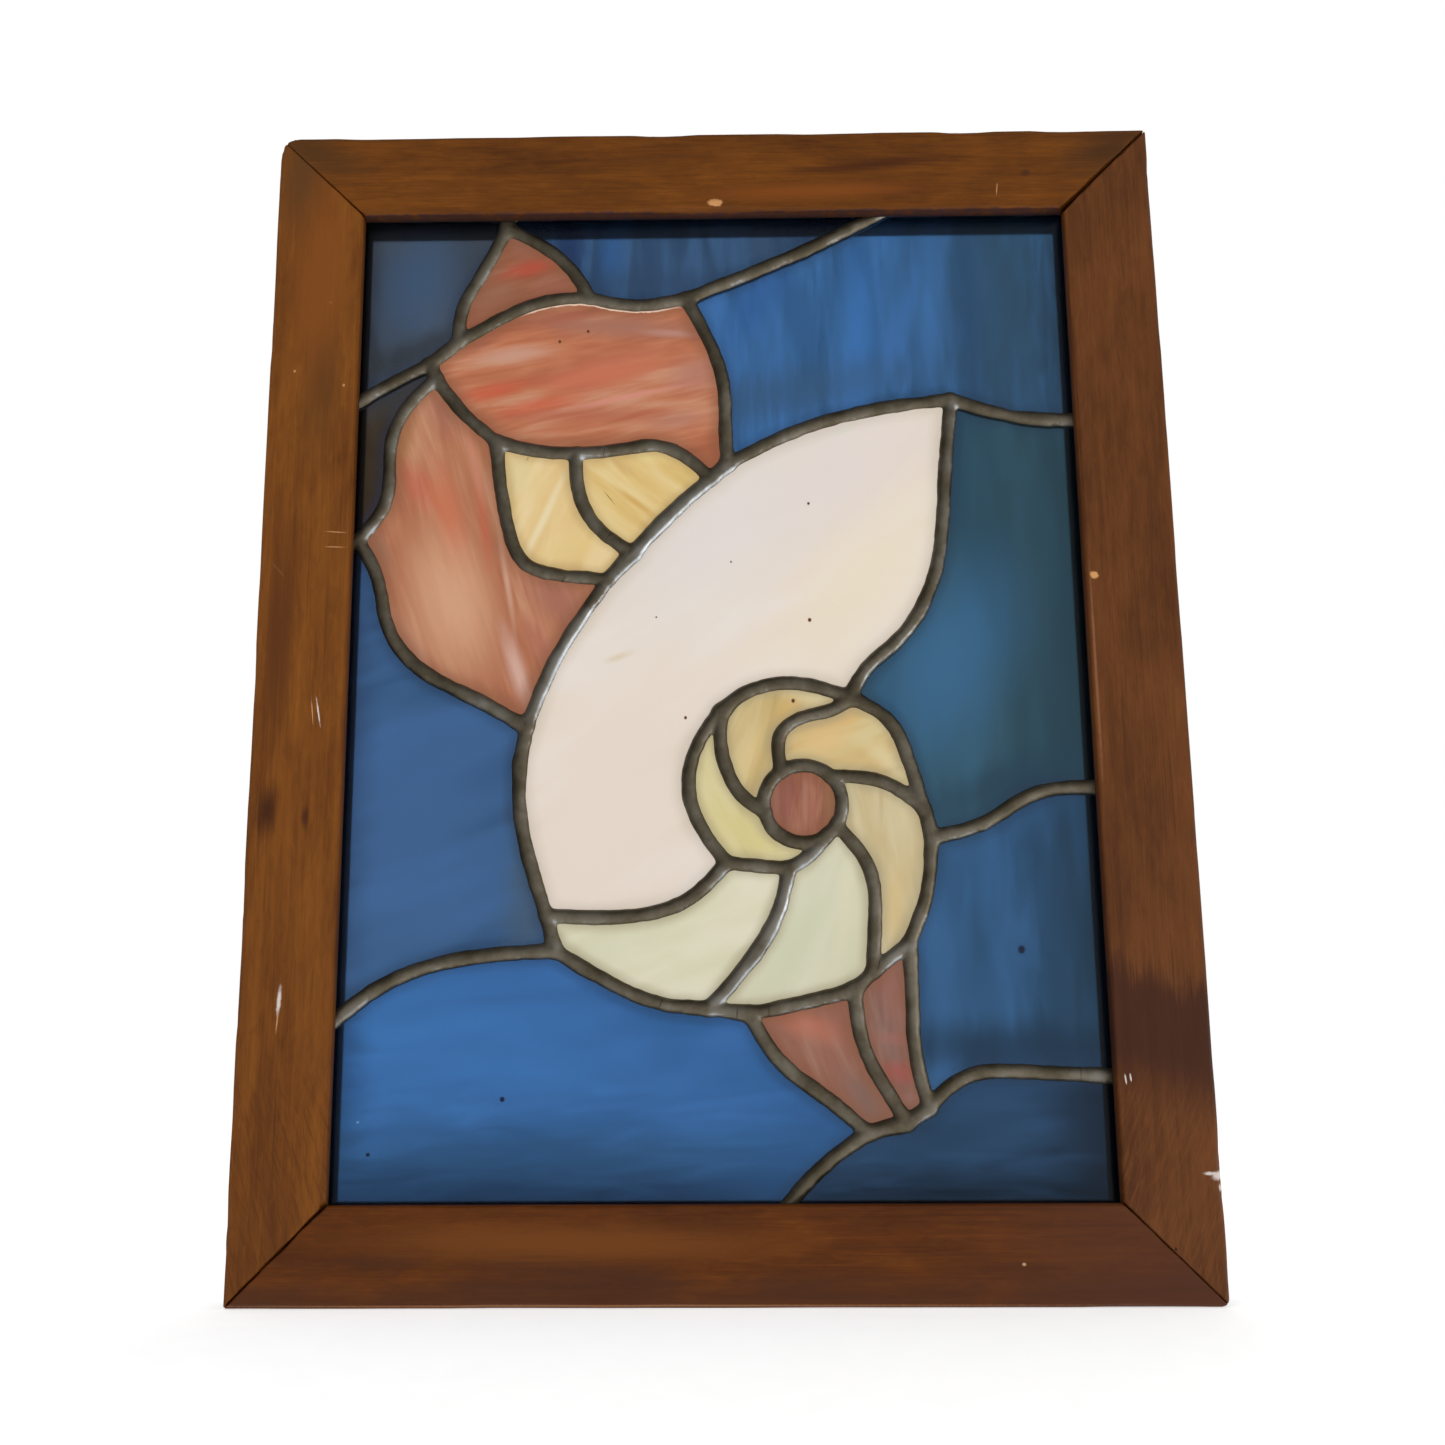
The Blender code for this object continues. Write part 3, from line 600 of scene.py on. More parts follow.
def slide_to_level(x, z, field, level, moving):
    """Moves the chosen points down the field's slope s to the level: p - (f - level) s / |s|^2."""
    slope_z, slope_x = np.gradient(field, z[:, 0], x[0])
    steepness = np.maximum(slope_x**2 + slope_z**2, LEAST_STEEPNESS)
    longest = LONGEST_SLIDE * (x[0, 1] - x[0, 0])
    sliding = np.where(moving, field - level, 0) / steepness
    moved_x = x - np.clip(sliding * slope_x, -longest, longest)
    moved_z = z - np.clip(sliding * slope_z, -longest, longest)
    return moved_x, moved_z


def slab_arrays(x, z, front_y, back_y, solid):
    """A closed slab over the solid cells of a grid: front and back sheets, and walls along the border."""
    used, _ = slab_border(solid)
    count = int(used.sum())
    number = np.full(used.shape, -1)
    number[used] = np.arange(count)
    front_points = np.stack([x[used], front_y[used], z[used]], axis=1)
    back_points = np.stack([x[used], back_y[used], z[used]], axis=1)
    around = np.pad(solid, 1).astype(int)
    low_left, low_right = number[:-1, :-1][solid], number[:-1, 1:][solid]
    high_left, high_right = number[1:, :-1][solid], number[1:, 1:][solid]
    fronts = np.stack([low_left, low_right, high_right, high_left], axis=1)
    backs = fronts[:, ::-1] + count
    walls = []
    sides = (
        (around[:-2, 1:-1], low_left, low_right),
        (around[1:-1, 2:], low_right, high_right),
        (around[2:, 1:-1], high_right, high_left),
        (around[1:-1, :-2], high_left, low_left),
    )
    for beyond, start, end in sides:
        open_side = beyond[solid] == 0
        start, end = start[open_side], end[open_side]
        walls.append(np.stack([end, start, start + count, end + count], axis=1))
    faces = np.concatenate([fronts, backs, *walls])
    return np.concatenate([front_points, back_points]), faces


def store(piece, name, front_values):
    """Keeps a number for each point of a slab as an attribute, the same on its front and back."""
    attribute = piece.data.attributes.new(name, "FLOAT", "POINT")
    attribute.data.foreach_set("value", np.tile(front_values, 2).astype(np.float32))


PATINA_STOPS = [(0.38, paint(86, 78, 62)), (0.5, paint(101, 93, 78)), (0.62, paint(116, 109, 95))]
RUBBED_SOLDER = paint(142, 140, 134)
HIGHLIGHT_SILVER = paint(168, 172, 174)
NICK_SHADE = paint(48, 42, 34)


def solder_finish():
    """Grey-brown patina over tin, rubbed paler on bright seams, with a painted silver highlight on their
    lower right flanks.
    """
    finish = Finish("patinated_solder", Metallic=0.9, IOR=1.5)
    clouds = finish.clouds(0.010, 3.0, 0.5)
    flecks = finish.clouds(0.0016)
    rubbed = finish.step(finish.stored("bright") + (clouds - 0.5) * 0.8, 0.5, 1.3)
    # Painted highlight: silver on the flanks that face the lower right
    painted_highlight = finish.step(finish.stored("glint") + (clouds - 0.5) * 0.7 + (flecks - 0.5) * 0.6, 0.30, 0.92)
    colour = finish.ramp(clouds * 0.8 + flecks * 0.2, PATINA_STOPS)
    colour = finish.mix(colour, RUBBED_SOLDER, rubbed * 0.6)
    colour = finish.mix(colour, HIGHLIGHT_SILVER, painted_highlight)
    nicks = sum(finish.spot(panel_point(place), lean, sizes, 0.6) for place, lean, sizes in SOLDER_NICKS)
    finish.set("Base Color", finish.mix(colour, NICK_SHADE, nicks * 0.7))
    finish.set("Roughness", 0.42 - painted_highlight * 0.10 + (clouds - 0.5) * 0.2 + (flecks - 0.5) * 0.1)
    finish.bump(flecks * 0.12 + clouds - nicks * 1.5, 0.25, 0.0003)
    return finish


def make_solder():
    """The beads on both faces of the glass.

    Over the panel's grid the front is at GLASS_FRONT_Y - height and the back at GLASS_BACK_Y + height.
    The border's points slide to the bead's own edge, a little below the glass. The glint, a painted
    highlight, lies on the flank that faces the lower right: brightness, times the slope's share towards
    there, times exp(-((t - GLINT_PLACE) / GLINT_SPREAD)^2), with t 0 on the crown and 1 at the bead's edge.
    """
    x, z = panel_grid(GRID_COLUMNS, GRID_ROWS)
    outside, bright = bead_field(x, z)
    solid = fill_corner_touches(corner_sum(outside) < 0)
    used, border = slab_border(solid)
    border[[0, -1], :] = False
    border[:, [0, -1]] = False
    slope_z, slope_x = np.gradient(outside, z[:, 0], x[0])
    steepness = np.maximum(np.hypot(slope_x, slope_z), GLINT_LEAST_SLOPE)
    side = (GLINT_SIDE[0] * slope_x + GLINT_SIDE[1] * slope_z) / steepness
    share = np.clip(1 + outside / BEAD_HALF_WIDTH, 0, 1)
    bright = bright + LUMP_BRIGHTNESS * fresh_solder(x, z) + ripples(x, z, SHINE_RIPPLES, SHINE_SEED)
    glint = bright * np.clip(side, 0, 1) * np.exp(-(((share - GLINT_PLACE) / GLINT_SPREAD) ** 2))
    front = np.where(border, -BEAD_SINK, bead_height(outside, x, z, FRONT_BEAD_SEED))
    back = np.where(border, -BEAD_SINK, bead_height(outside, x, z, BACK_BEAD_SEED))
    x, z = slide_to_level(x, z, outside, BEAD_SINK / 2, border)
    points, faces = slab_arrays(x, z, GLASS_FRONT_Y - front, GLASS_BACK_Y + back, solid)
    solder = make_piece("soldered_seams", points, faces.tolist(), solder_finish(), "solder_lines")
    store(solder, "bright", bright[used])
    store(solder, "glint", glint[used])


# Wooden frame

PROFILE_ARC_STEPS = 6
RAIL_STATIONS = 150
WOOD_SHARP_ANGLE = 40
MITRE_ROUNDING = 0.0007
MITRE_DIP = 0.00045
MITRE_GAP_DEPTH = 0.004
OUTER_ARRIS_WEAR = 0.0011
OUTER_WAVE = 0.0002
DENT_DEPTH = 0.00013

# Uneven wood, as the height, size and added seed of each ripple: of the mitres, the arrises and the dents
MITRE_RIPPLES = ((0.5, 0.0045, 0), (0.4, 0.0019, 7))
ARRIS_RIPPLES = ((0.38, 0.033, 1), (0.20, 0.0092, 2))
OUTER_ARRIS_RIPPLES = ((0.0007, 0.018, 3),)
DENT_RIPPLES = ((0.00010, 0.017, 4), (0.00003, 0.004, 5))

# The left rail's foot is worn more: depth of the wear and how far up it reaches, on its arris and its side
FOOT_ARRIS_WEAR = 0.0018
FOOT_ARRIS_LENGTH = 0.060
FOOT_SIDE_WEAR = 0.0007
FOOT_SIDE_LENGTH = 0.030

CORNER_RADII = {"top_left": 0.0085, "top_right": 0.0026, "foot_right": 0.0038, "foot_left": 0.0016}

# Each rail: its turn about Y in degrees, its length, how far the mitre stands open at its left end and at
# its right end, each on the glass side and on the outer side, and the least and most wear of its inner arris
RAILS = {
    "top_rail": (0, FRAME_WIDTH, (0.00026, 0.00006), (0.00085, 0.00030), (0.0006, 0.0024)),
    "right_rail": (90, FRAME_HEIGHT, (0.00060, 0.00035), (0.00022, 0.00012), (0.0004, 0.0011)),
    "bottom_rail": (180, FRAME_WIDTH, (0.00020, 0.00012), (0.00045, 0.00040), (0.0004, 0.0009)),
    "left_rail": (-90, FRAME_HEIGHT, (0.00050, 0.00040), (0.00024, 0.00006), (0.0005, 0.0014)),
}


def arc_points(centre, radius, start, end):
    """Points of an arc from the start to the end angle in degrees, as rows of depth and height."""
    angles = np.radians(np.linspace(start, end, PROFILE_ARC_STEPS + 1))
    return np.stack([centre[0] + radius * np.cos(angles), centre[1] + radius * np.sin(angles)], axis=1)


def straight_points(start, end, count):
    """Points spaced evenly between two ends, without the ends."""
    shares = np.linspace(0, 1, count + 2)[1:-1, None]
    return np.array(start) * (1 - shares) + np.array(end) * shares


def rail_profile():
    """The rail's section: depth Y against the height above its inner edge, with the groove in that edge."""
    front, outer, inner = -RAIL_THICKNESS, OUTER_ARRIS, INNER_ARRIS
    high = RAIL_WIDTH - outer
    runs = [
        arc_points((-outer, high), outer, 0, 90),
        straight_points((-outer, RAIL_WIDTH), (front + outer, RAIL_WIDTH), 7),
        arc_points((front + outer, high), outer, 90, 180),
        straight_points((front, high), (front, 4 * inner), 20),
        straight_points((front, 4 * inner), (front, inner), 5),
        arc_points((front + inner, inner), inner, 180, 270),
        straight_points((front + inner, 0), (GROOVE_FRONT_Y, 0), 4),
        np.array([(GROOVE_FRONT_Y, 0), (GROOVE_FRONT_Y, GROOVE_DEPTH)]),
        np.array([(GROOVE_BACK_Y, GROOVE_DEPTH), (GROOVE_BACK_Y, 0)]),
        straight_points((GROOVE_BACK_Y, 0), (-inner, 0), 3),
        arc_points((-inner, inner), inner, 270, 360),
        straight_points((0, inner), (0, high), 8),
    ]
    return np.concatenate(runs)


def rail_stations():
    """Shares of the half length, from -1 to 1, where the section is placed: closer near the mitres."""
    near = 1 - np.array([0.0, 0.0012, 0.0028, 0.005, 0.009])
    middle = np.linspace(-0.985, 0.985, RAIL_STATIONS)
    return np.concatenate([-near, middle, near[::-1]])


def arris_cut(cut, from_edge, depth):
    """How far each point moves in and back on to a plane at 45 degrees that cuts the front arris by cut."""
    return np.clip(cut - from_edge - (depth + RAIL_THICKNESS), 0, None) / 2


def rail_arrays(name):
    """Points and faces of one rail, worn inwards from the true section.

    A profile point at height h above the inner edge runs along X over the share t of
    length / 2 - (width - h), which makes the mitres. Then the arrises are cut back by planes at 45 degrees
    whose depth wanders along the rail, the mitred edges and the frame's corners are rounded, and the faces
    sink by a little smooth noise.
    """
    turn, length, left_gap, right_gap, (least, most) = RAILS[name]
    seed = RAIL_SEED + 10 * list(RAILS).index(name)
    profile = rail_profile()
    stations = rail_stations()
    share, depth = np.meshgrid(stations, profile[:, 0], indexing="ij")
    height = np.broadcast_to(profile[:, 1], share.shape).copy()
    reach = length / 2 - (RAIL_WIDTH - height)
    outward = height / RAIL_WIDTH
    left_open = left_gap[0] + (left_gap[1] - left_gap[0]) * outward
    right_open = right_gap[0] + (right_gap[1] - right_gap[0]) * outward
    level = np.zeros(share.shape)
    ragged = 1 + ripples(height, level, MITRE_RIPPLES, seed)
    near_front = np.clip(1 - (depth + RAIL_THICKNESS) / MITRE_GAP_DEPTH, 0, 1)
    gap = np.where(share < 0, left_open, right_open) * ragged * near_front
    x = share * (reach - math.sqrt(2) * gap)

    wander = 0.5 + ripples(x, level, ARRIS_RIPPLES, seed)
    cut = least + (most - least) * np.clip(wander, 0, 1) ** 2
    if name == "left_rail":
        cut = cut + FOOT_ARRIS_WEAR * np.clip(1 - (x + length / 2) / FOOT_ARRIS_LENGTH, 0, 1)
    missing = arris_cut(cut, height, depth)
    height, depth = height + missing, depth + missing

    cut = OUTER_ARRIS_WEAR + ripples(x, level, OUTER_ARRIS_RIPPLES, seed)
    missing = arris_cut(cut, RAIL_WIDTH - height, depth)
    height, depth = height - missing, depth + missing

    to_mitre = (1 - np.abs(share)) * length / 2
    rounding = np.clip(1 - to_mitre / MITRE_ROUNDING, 0, 1) ** 2 * MITRE_DIP
    on_front = depth < GROOVE_FRONT_Y
    dents = DENT_DEPTH + ripples(x, height, DENT_RIPPLES, seed)
    depth = depth + np.where(on_front, rounding + dents, 0)
    on_outer = height > RAIL_WIDTH - OUTER_WAVE
    height = height - np.where(on_outer, OUTER_WAVE * (1 + ripple(x, depth, 0.04, seed + 6)), 0)
    if name == "left_rail":
        rubbed = FOOT_SIDE_WEAR * np.clip(1 - (x + length / 2) / FOOT_SIDE_LENGTH, 0, 1)
        height = height - np.where(on_outer, rubbed, 0)

    out_to_side = (FRAME_HEIGHT if turn % 180 == 0 else FRAME_WIDTH) / 2
    points = np.stack([x, depth, height + out_to_side - RAIL_WIDTH], 2)
    faces = tube_faces(len(stations), len(profile))
    turned = np.array(Matrix.Rotation(math.radians(turn), 3, "Y"))
    points = points.reshape(-1, 3) @ turned.T
    points = round_corners(points)
    points[:, 2] += FRAME_CENTRE_Z
    return points, faces


def round_corners(points):
    """Moves points beyond the frame's rounded corners, seen from the front, on to the corner's circle."""
    left, top = points[:, 0] < 0, points[:, 2] > 0
    upper = np.where(left, CORNER_RADII["top_left"], CORNER_RADII["top_right"])
    lower = np.where(left, CORNER_RADII["foot_left"], CORNER_RADII["foot_right"])
    radius = np.where(top, upper, lower)
    over_x = np.abs(points[:, 0]) - (FRAME_WIDTH / 2 - radius)
    over_z = np.abs(points[:, 2]) - (FRAME_HEIGHT / 2 - radius)
    from_centre = np.hypot(over_x, over_z)
    beyond = (over_x > 0) & (over_z > 0) & (from_centre > radius)
    back = np.where(beyond, 1 - radius / np.maximum(from_centre, 1e-9), 0)
    moved = points.copy()
    moved[:, 0] -= np.sign(points[:, 0]) * over_x * back
    moved[:, 2] -= np.sign(points[:, 2]) * over_z * back
    return moved


def tube_faces(stations, around):
    """Quads between each two neighbouring sections, and one face on each end."""
    first = np.arange(stations - 1)[:, None] * around
    here = np.arange(around)[None, :]
    after = (here + 1) % around
    quads = np.stack([first + here, first + after, first + around + after, first + around + here], axis=2)
    ends = [list(range(around))[::-1], list(range((stations - 1) * around, stations * around))]
    return quads.reshape(-1, 4).tolist() + ends


BARE_WOOD = (205, 150, 95)
PALE_SCRATCH = (190, 140, 95)
WHITE_PAINT = (212, 200, 192)
DARK_STAIN = paint(58, 30, 20)
GRAIN_LINE = paint(62, 34, 14)
GREY_STAIN = paint(76, 44, 28)
CORNER_STAIN = paint(80, 45, 30)
UNDER_EDGE = paint(66, 42, 38)
INNER_SHADE = paint(40, 26, 22)
REVEAL_SHADE = paint(44, 31, 27)

# Where a stain or shade begins and where it is full: heights, then a place across, then depths
CURL_REACH = (-0.300, -0.340)
BAND_HEAD = (-0.281, -0.293)
BAND_FOOT = (-0.334, -0.312)
GREY_REACH = (-0.374, -0.386)
UNDER_REACH = (-0.0150, -0.0156)
CORNER_REACH = (0.060, 0.130)
MARK_REACH = (-0.0150, -0.0175)
INSIDE_REACH = (-0.0165, -0.0145)
REVEAL_REACH = (-0.0090, -0.0080)
REVEAL_EDGE = (-0.0016, -0.0028)

# The curled grain at the foot of an upright: its lean in degrees, colour and strength
CURLS = {
    "left_rail": (-72, paint(88, 47, 15), 0.6),
    "right_rail": (68, paint(132, 78, 38), 0.28),
}

# Marks on each rail's front: centre (X, Z), lean in degrees, half sizes, softness of the edge and colour,
# with lengths in millimetres
WOOD_MARKS = {
    "top_rail": [
        ((0.9, -12.2), 0, (2.6, 1.4), 0.25, BARE_WOOD),
        ((101.4, -8.3), 84, (2.2, 0.16), 0.5, PALE_SCRATCH),
        ((112, -1.7), 30, (1.3, 1.1), 0.8, (76, 42, 18)), ((-144, 9.5), -20, (15, 6), 0.9, (82, 50, 20)),
        ((143, 8), 20, (15, 7), 0.9, (74, 44, 18)), ((56, 2), 4, (24, 2.2), 0.8, (72, 36, 12)),
        ((35, -8), 2, (30, 3), 0.8, (122, 66, 20)),
    ],
    "left_rail": [
        ((-130.3, -135.3), -4, (3, 0.16), 0.5, PALE_SCRATCH),
        ((-130.1, -140.7), -2, (3, 0.16), 0.5, PALE_SCRATCH),
        ((-135.6, -198.6), 96, (3.8, 0.18), 0.5, PALE_SCRATCH),
        ((-133.6, -198.6), -80, (4.2, 0.24), 0.5, WHITE_PAINT),
        ((-149.1, -149), -50, (3, 0.4), 0.6, (146, 102, 58)),
        ((-149.2, -232), 84, (7.5, 3), 0.8, (70, 36, 14)),
        ((-136.6, -234.5), 86, (3, 1.2), 0.8, (76, 40, 16)),
        ((-142.3, -294.6), 86, (4, 0.6), 0.5, WHITE_PAINT),
        ((-142.6, -301), 86, (3.4, 0.2), 0.5, PALE_SCRATCH),
        ((-135.3, -49.6), 0, (0.5, 0.5), 0.4, PALE_SCRATCH),
        ((-129.5, -81.2), 0, (0.5, 0.5), 0.4, PALE_SCRATCH),
        ((-146.9, -75.7), 0, (0.4, 0.5), 0.4, PALE_SCRATCH), ((-147, 1), 88, (17, 6), 0.9, (94, 58, 26)),
        ((-137, -78), 90, (23, 5.5), 0.9, (98, 58, 22)), ((-148, -170), 90, (35, 4.5), 0.9, (92, 50, 18)),
        ((-140, -40), 88, (30, 7), 0.8, (124, 70, 24)),
    ],
    "right_rail": [
        ((127.6, -152.8), 0, (1.4, 1.2), 0.3, BARE_WOOD),
        ((127.7, -320.3), 96, (1.4, 0.26), 0.4, WHITE_PAINT),
        ((129.3, -319.8), 96, (1.3, 0.24), 0.4, WHITE_PAINT),
        ((154.8, -350), 10, (1.9, 1.2), 0.5, WHITE_PAINT),
        ((152.2, -349.4), 0, (1.6, 0.5), 0.6, WHITE_PAINT),
        ((155.2, -353.8), 0, (0.5, 1), 0.5, WHITE_PAINT),
        # A paler line along the inner arris: partly wear, partly a painted highlight where the arris catches
        # the light
        ((126.2, -187), 90, (32, 0.4), 0.6, (128, 84, 56)),
        ((137.2, -378), 0, (0.6, 0.6), 0.5, (44, 24, 14)),
        ((140, -372.2), 0, (0.4, 0.5), 0.5, (44, 24, 14)),
    ],
    "bottom_rail": [
        ((92.9, -376.5), 0, (0.6, 0.5), 0.4, (185, 150, 110)),
        ((-30, -388.6), 0, (115, 0.3), 0.6, (138, 92, 56)), ((-50, -370), 0, (50, 5), 0.8, (114, 64, 22)),
    ],
}

# The wood's clouds, grain, pores, lines and mottle, as noises: length, width and added seed, then the
# detail, roughness and distortion
WOOD_NOISES = (
    (0.050, 0.013, 0, (3.0, 0.5, 0.6)),
    (0.10, 0.0026, 5, (3.0, 0.55, 0.5)),
    (0.014, 0.0005, 9, (2.0, 0.5, 0.0)),
    (0.06, 0.0010, 13, (2.0, 0.5, 0.8)),
    (0.009, 0.0024, 17, (3.0, 0.6, 0.8)),
)

# The wood's tones on each rail from the darkest to the palest, and where they lie in its noise
WOOD_STOPS = (0.35, 0.5, 0.65)
WOOD_TONES = {
    "top_rail": [(78, 41, 10), (101, 56, 13), (122, 69, 17)],
    "right_rail": [(74, 40, 17), (95, 54, 24), (112, 66, 31)],
    "bottom_rail": [(70, 34, 8), (91, 46, 10), (112, 60, 14)],
    "left_rail": [(90, 48, 14), (114, 65, 20), (134, 79, 25)],
}


def wood_finish(name):
    """Brown stained softwood: soft clouds, long grain, dark lines, pores, curls, stains and scratches."""
    finish = Finish("stained_wood_" + name, IOR=1.45, Specular_IOR_Level=0.15)
    upright = name in ("left_rail", "right_rail")

    def along(long, wide, seed):
        """Coordinates stretched along the rail."""
        sizes = (wide, wide * 3, long) if upright else (long, wide * 3, wide)
        return finish.place((0.013 * seed, 0.031 * seed, 0.017 * seed), 0.0, sizes)

    seed = 1 + list(RAILS).index(name)
    clouds, grain, pores, lines, mottle = (
        finish.noise(along(long, wide, seed + more), *look) for long, wide, more, look in WOOD_NOISES
    )
    tone = clouds * 0.42 + grain * 0.2 + pores * 0.17 + mottle * 0.21
    tones = [paint(*tone_colour) for tone_colour in WOOD_TONES[name]]
    colour = finish.ramp(tone, list(zip(WOOD_STOPS, tones)))
    colour = finish.mix(colour, GRAIN_LINE, finish.step(lines, 0.40, 0.28) * 0.32)
    across, depth, up = (finish.node("SeparateXYZ", {}, {0: finish.place()}, axis) for axis in "XYZ")
    if upright:
        lean, curl_colour, strength = CURLS[name]
        curls = finish.noise(finish.place(lean=lean, sizes=(0.012, 0.01, 0.0011)), 3.0, 0.6, 0.9)
        low = finish.step(up + (clouds - 0.5) * 0.05, *CURL_REACH)
        colour = finish.mix(colour, curl_colour, finish.step(curls, 0.46, 0.70) * low * strength)
    if name == "right_rail":
        wavering = up + (clouds - 0.5) * 0.022 + (across - 0.14) * 0.25 + (pores - 0.5) * 0.012
        band = finish.step(wavering, *BAND_HEAD) * finish.step(wavering, *BAND_FOOT)
        colour = finish.mix(colour, DARK_STAIN, band * 0.8)
    if name == "bottom_rail":
        low = finish.step(up + (clouds - 0.5) * 0.03, *GREY_REACH)
        colour = finish.mix(colour, GREY_STAIN, low * 0.6)
        right_end = finish.step(across + (clouds - 0.5) * 0.05, *CORNER_REACH)
        colour = finish.mix(colour, CORNER_STAIN, right_end * 0.6)
    if name == "top_rail":
        under = finish.step(up + (finish.clouds(0.004) - 0.5) * 0.0016, *UNDER_REACH)
        colour = finish.mix(colour, UNDER_EDGE, under * 0.85)
    rough = finish.clouds(0.0012, 2.0)
    front = finish.step(depth, *MARK_REACH)
    for centre, lean, sizes, soft, mark_colour in WOOD_MARKS[name]:
        ragged = rough if soft < 0.7 else grain * 1.6 + pores * 0.6 - 0.6
        mask = finish.spot(np.array(centre) / 1000, lean, sizes, soft, ragged)
        colour = finish.mix(colour, paint(*mark_colour), mask * front)
    colour = finish.mix(colour, INNER_SHADE, finish.step(depth, *INSIDE_REACH) * 0.5)
    height_axis, inner_edge = (across, PANEL_WIDTH / 2) if upright else (up, PANEL_HEIGHT / 2)
    middle = 0.0 if upright else FRAME_CENTRE_Z
    from_middle = finish.node("Math", {"operation": "ABSOLUTE"}, {0: height_axis - middle})
    reveal = finish.step(from_middle, inner_edge + REVEAL_EDGE[0], inner_edge + REVEAL_EDGE[1])
    reveal = reveal * finish.step(depth, *REVEAL_REACH)
    colour = finish.mix(colour, REVEAL_SHADE, reveal * 0.9)
    finish.set("Base Color", colour)
    finish.set("Roughness", 0.5 - (grain - 0.5) * 0.3 + (pores - 0.5) * 0.2)
    finish.bump(pores * 0.4 + grain * 0.6 + lines * 0.2, 0.25, 0.0004)
    return finish


def make_frame():
    """The four worn rails."""
    for name in RAILS:
        points, faces = rail_arrays(name)
        make_piece("worn_" + name, points, faces, wood_finish(name), name, WOOD_SHARP_ANGLE)


# Glass

# Each piece of glass: its streaks' lean in degrees from X, their length and width in millimetres, and the
# colours from the darkest streak to the palest
GLASS_STREAKS = {
    "blue_glass_top_left": (90, (50, 26), (54, 60, 68), (63, 73, 86), (70, 82, 98)),
    "blue_glass_top": (90, (45, 9), (41, 65, 95), (50, 77, 108), (58, 90, 128)),
    "blue_glass_upper_right": (89, (50, 10), (45, 85, 128), (55, 99, 147), (61, 108, 164)),
    "blue_glass_right": (90, (110, 22), (43, 75, 92), (51, 84, 101), (54, 92, 115)),
    "blue_glass_lower_right": (90, (80, 24), (44, 79, 112), (51, 90, 130), (56, 97, 140)),
    "blue_glass_bottom_right": (0, (80, 20), (29, 56, 80), (37, 65, 94), (42, 73, 106)),
    "blue_glass_bottom_left": (5, (90, 26), (49, 97, 151), (56, 104, 162), (59, 112, 172)),
    "blue_glass_left": (20, (90, 28), (51, 83, 122), (60, 95, 137), (64, 101, 148)),
    "blue_glass_left_edge": (90, (40, 14), (49, 37, 24), (57, 46, 34), (63, 55, 48)),
    "pink_glass_hood_tip": (18, (40, 8), (142, 84, 60), (152, 94, 69), (160, 108, 86)),
    "pink_glass_hood": (11, (55, 10), (172, 98, 68), (188, 117, 84), (198, 142, 112)),
    "pink_glass_hood_left": (-73, (60, 10), (170, 105, 76), (180, 118, 86), (193, 138, 107)),
    "pink_glass_tail_left": (-66, (45, 13), (140, 90, 74), (150, 102, 85), (162, 120, 102)),
    "pink_glass_tail_right": (-84, (40, 11), (122, 84, 74), (134, 98, 87), (148, 114, 102)),
    "pink_glass_eye": (88, (24, 4.2), (136, 80, 66), (150, 94, 74), (164, 110, 88)),
    "cream_glass_left": (66, (35, 10), (222, 190, 130), (227, 198, 141), (231, 208, 158)),
    "cream_glass_right": (-42, (35, 8), (214, 176, 106), (221, 190, 124), (227, 202, 144)),
    "chamber_glass_1": (72, (35, 8), (192, 164, 106), (201, 176, 121), (212, 192, 142)),
    "chamber_glass_2": (-60, (35, 10), (210, 195, 138), (216, 203, 148), (220, 209, 162)),
    "chamber_glass_3": (20, (35, 9), (206, 172, 114), (210, 184, 128), (214, 196, 146)),
    "chamber_glass_4": (-82, (40, 9), (200, 180, 136), (208, 192, 151), (214, 200, 164)),
    "chamber_glass_5": (60, (50, 16), (208, 206, 175), (213, 210, 182), (218, 215, 190)),
    "chamber_glass_6": (20, (50, 16), (217, 213, 182), (223, 219, 192), (227, 223, 200)),
    "white_glass_shell": (35, (75, 24), (228, 214, 198), (232, 219, 205), (233, 223, 213)),
}
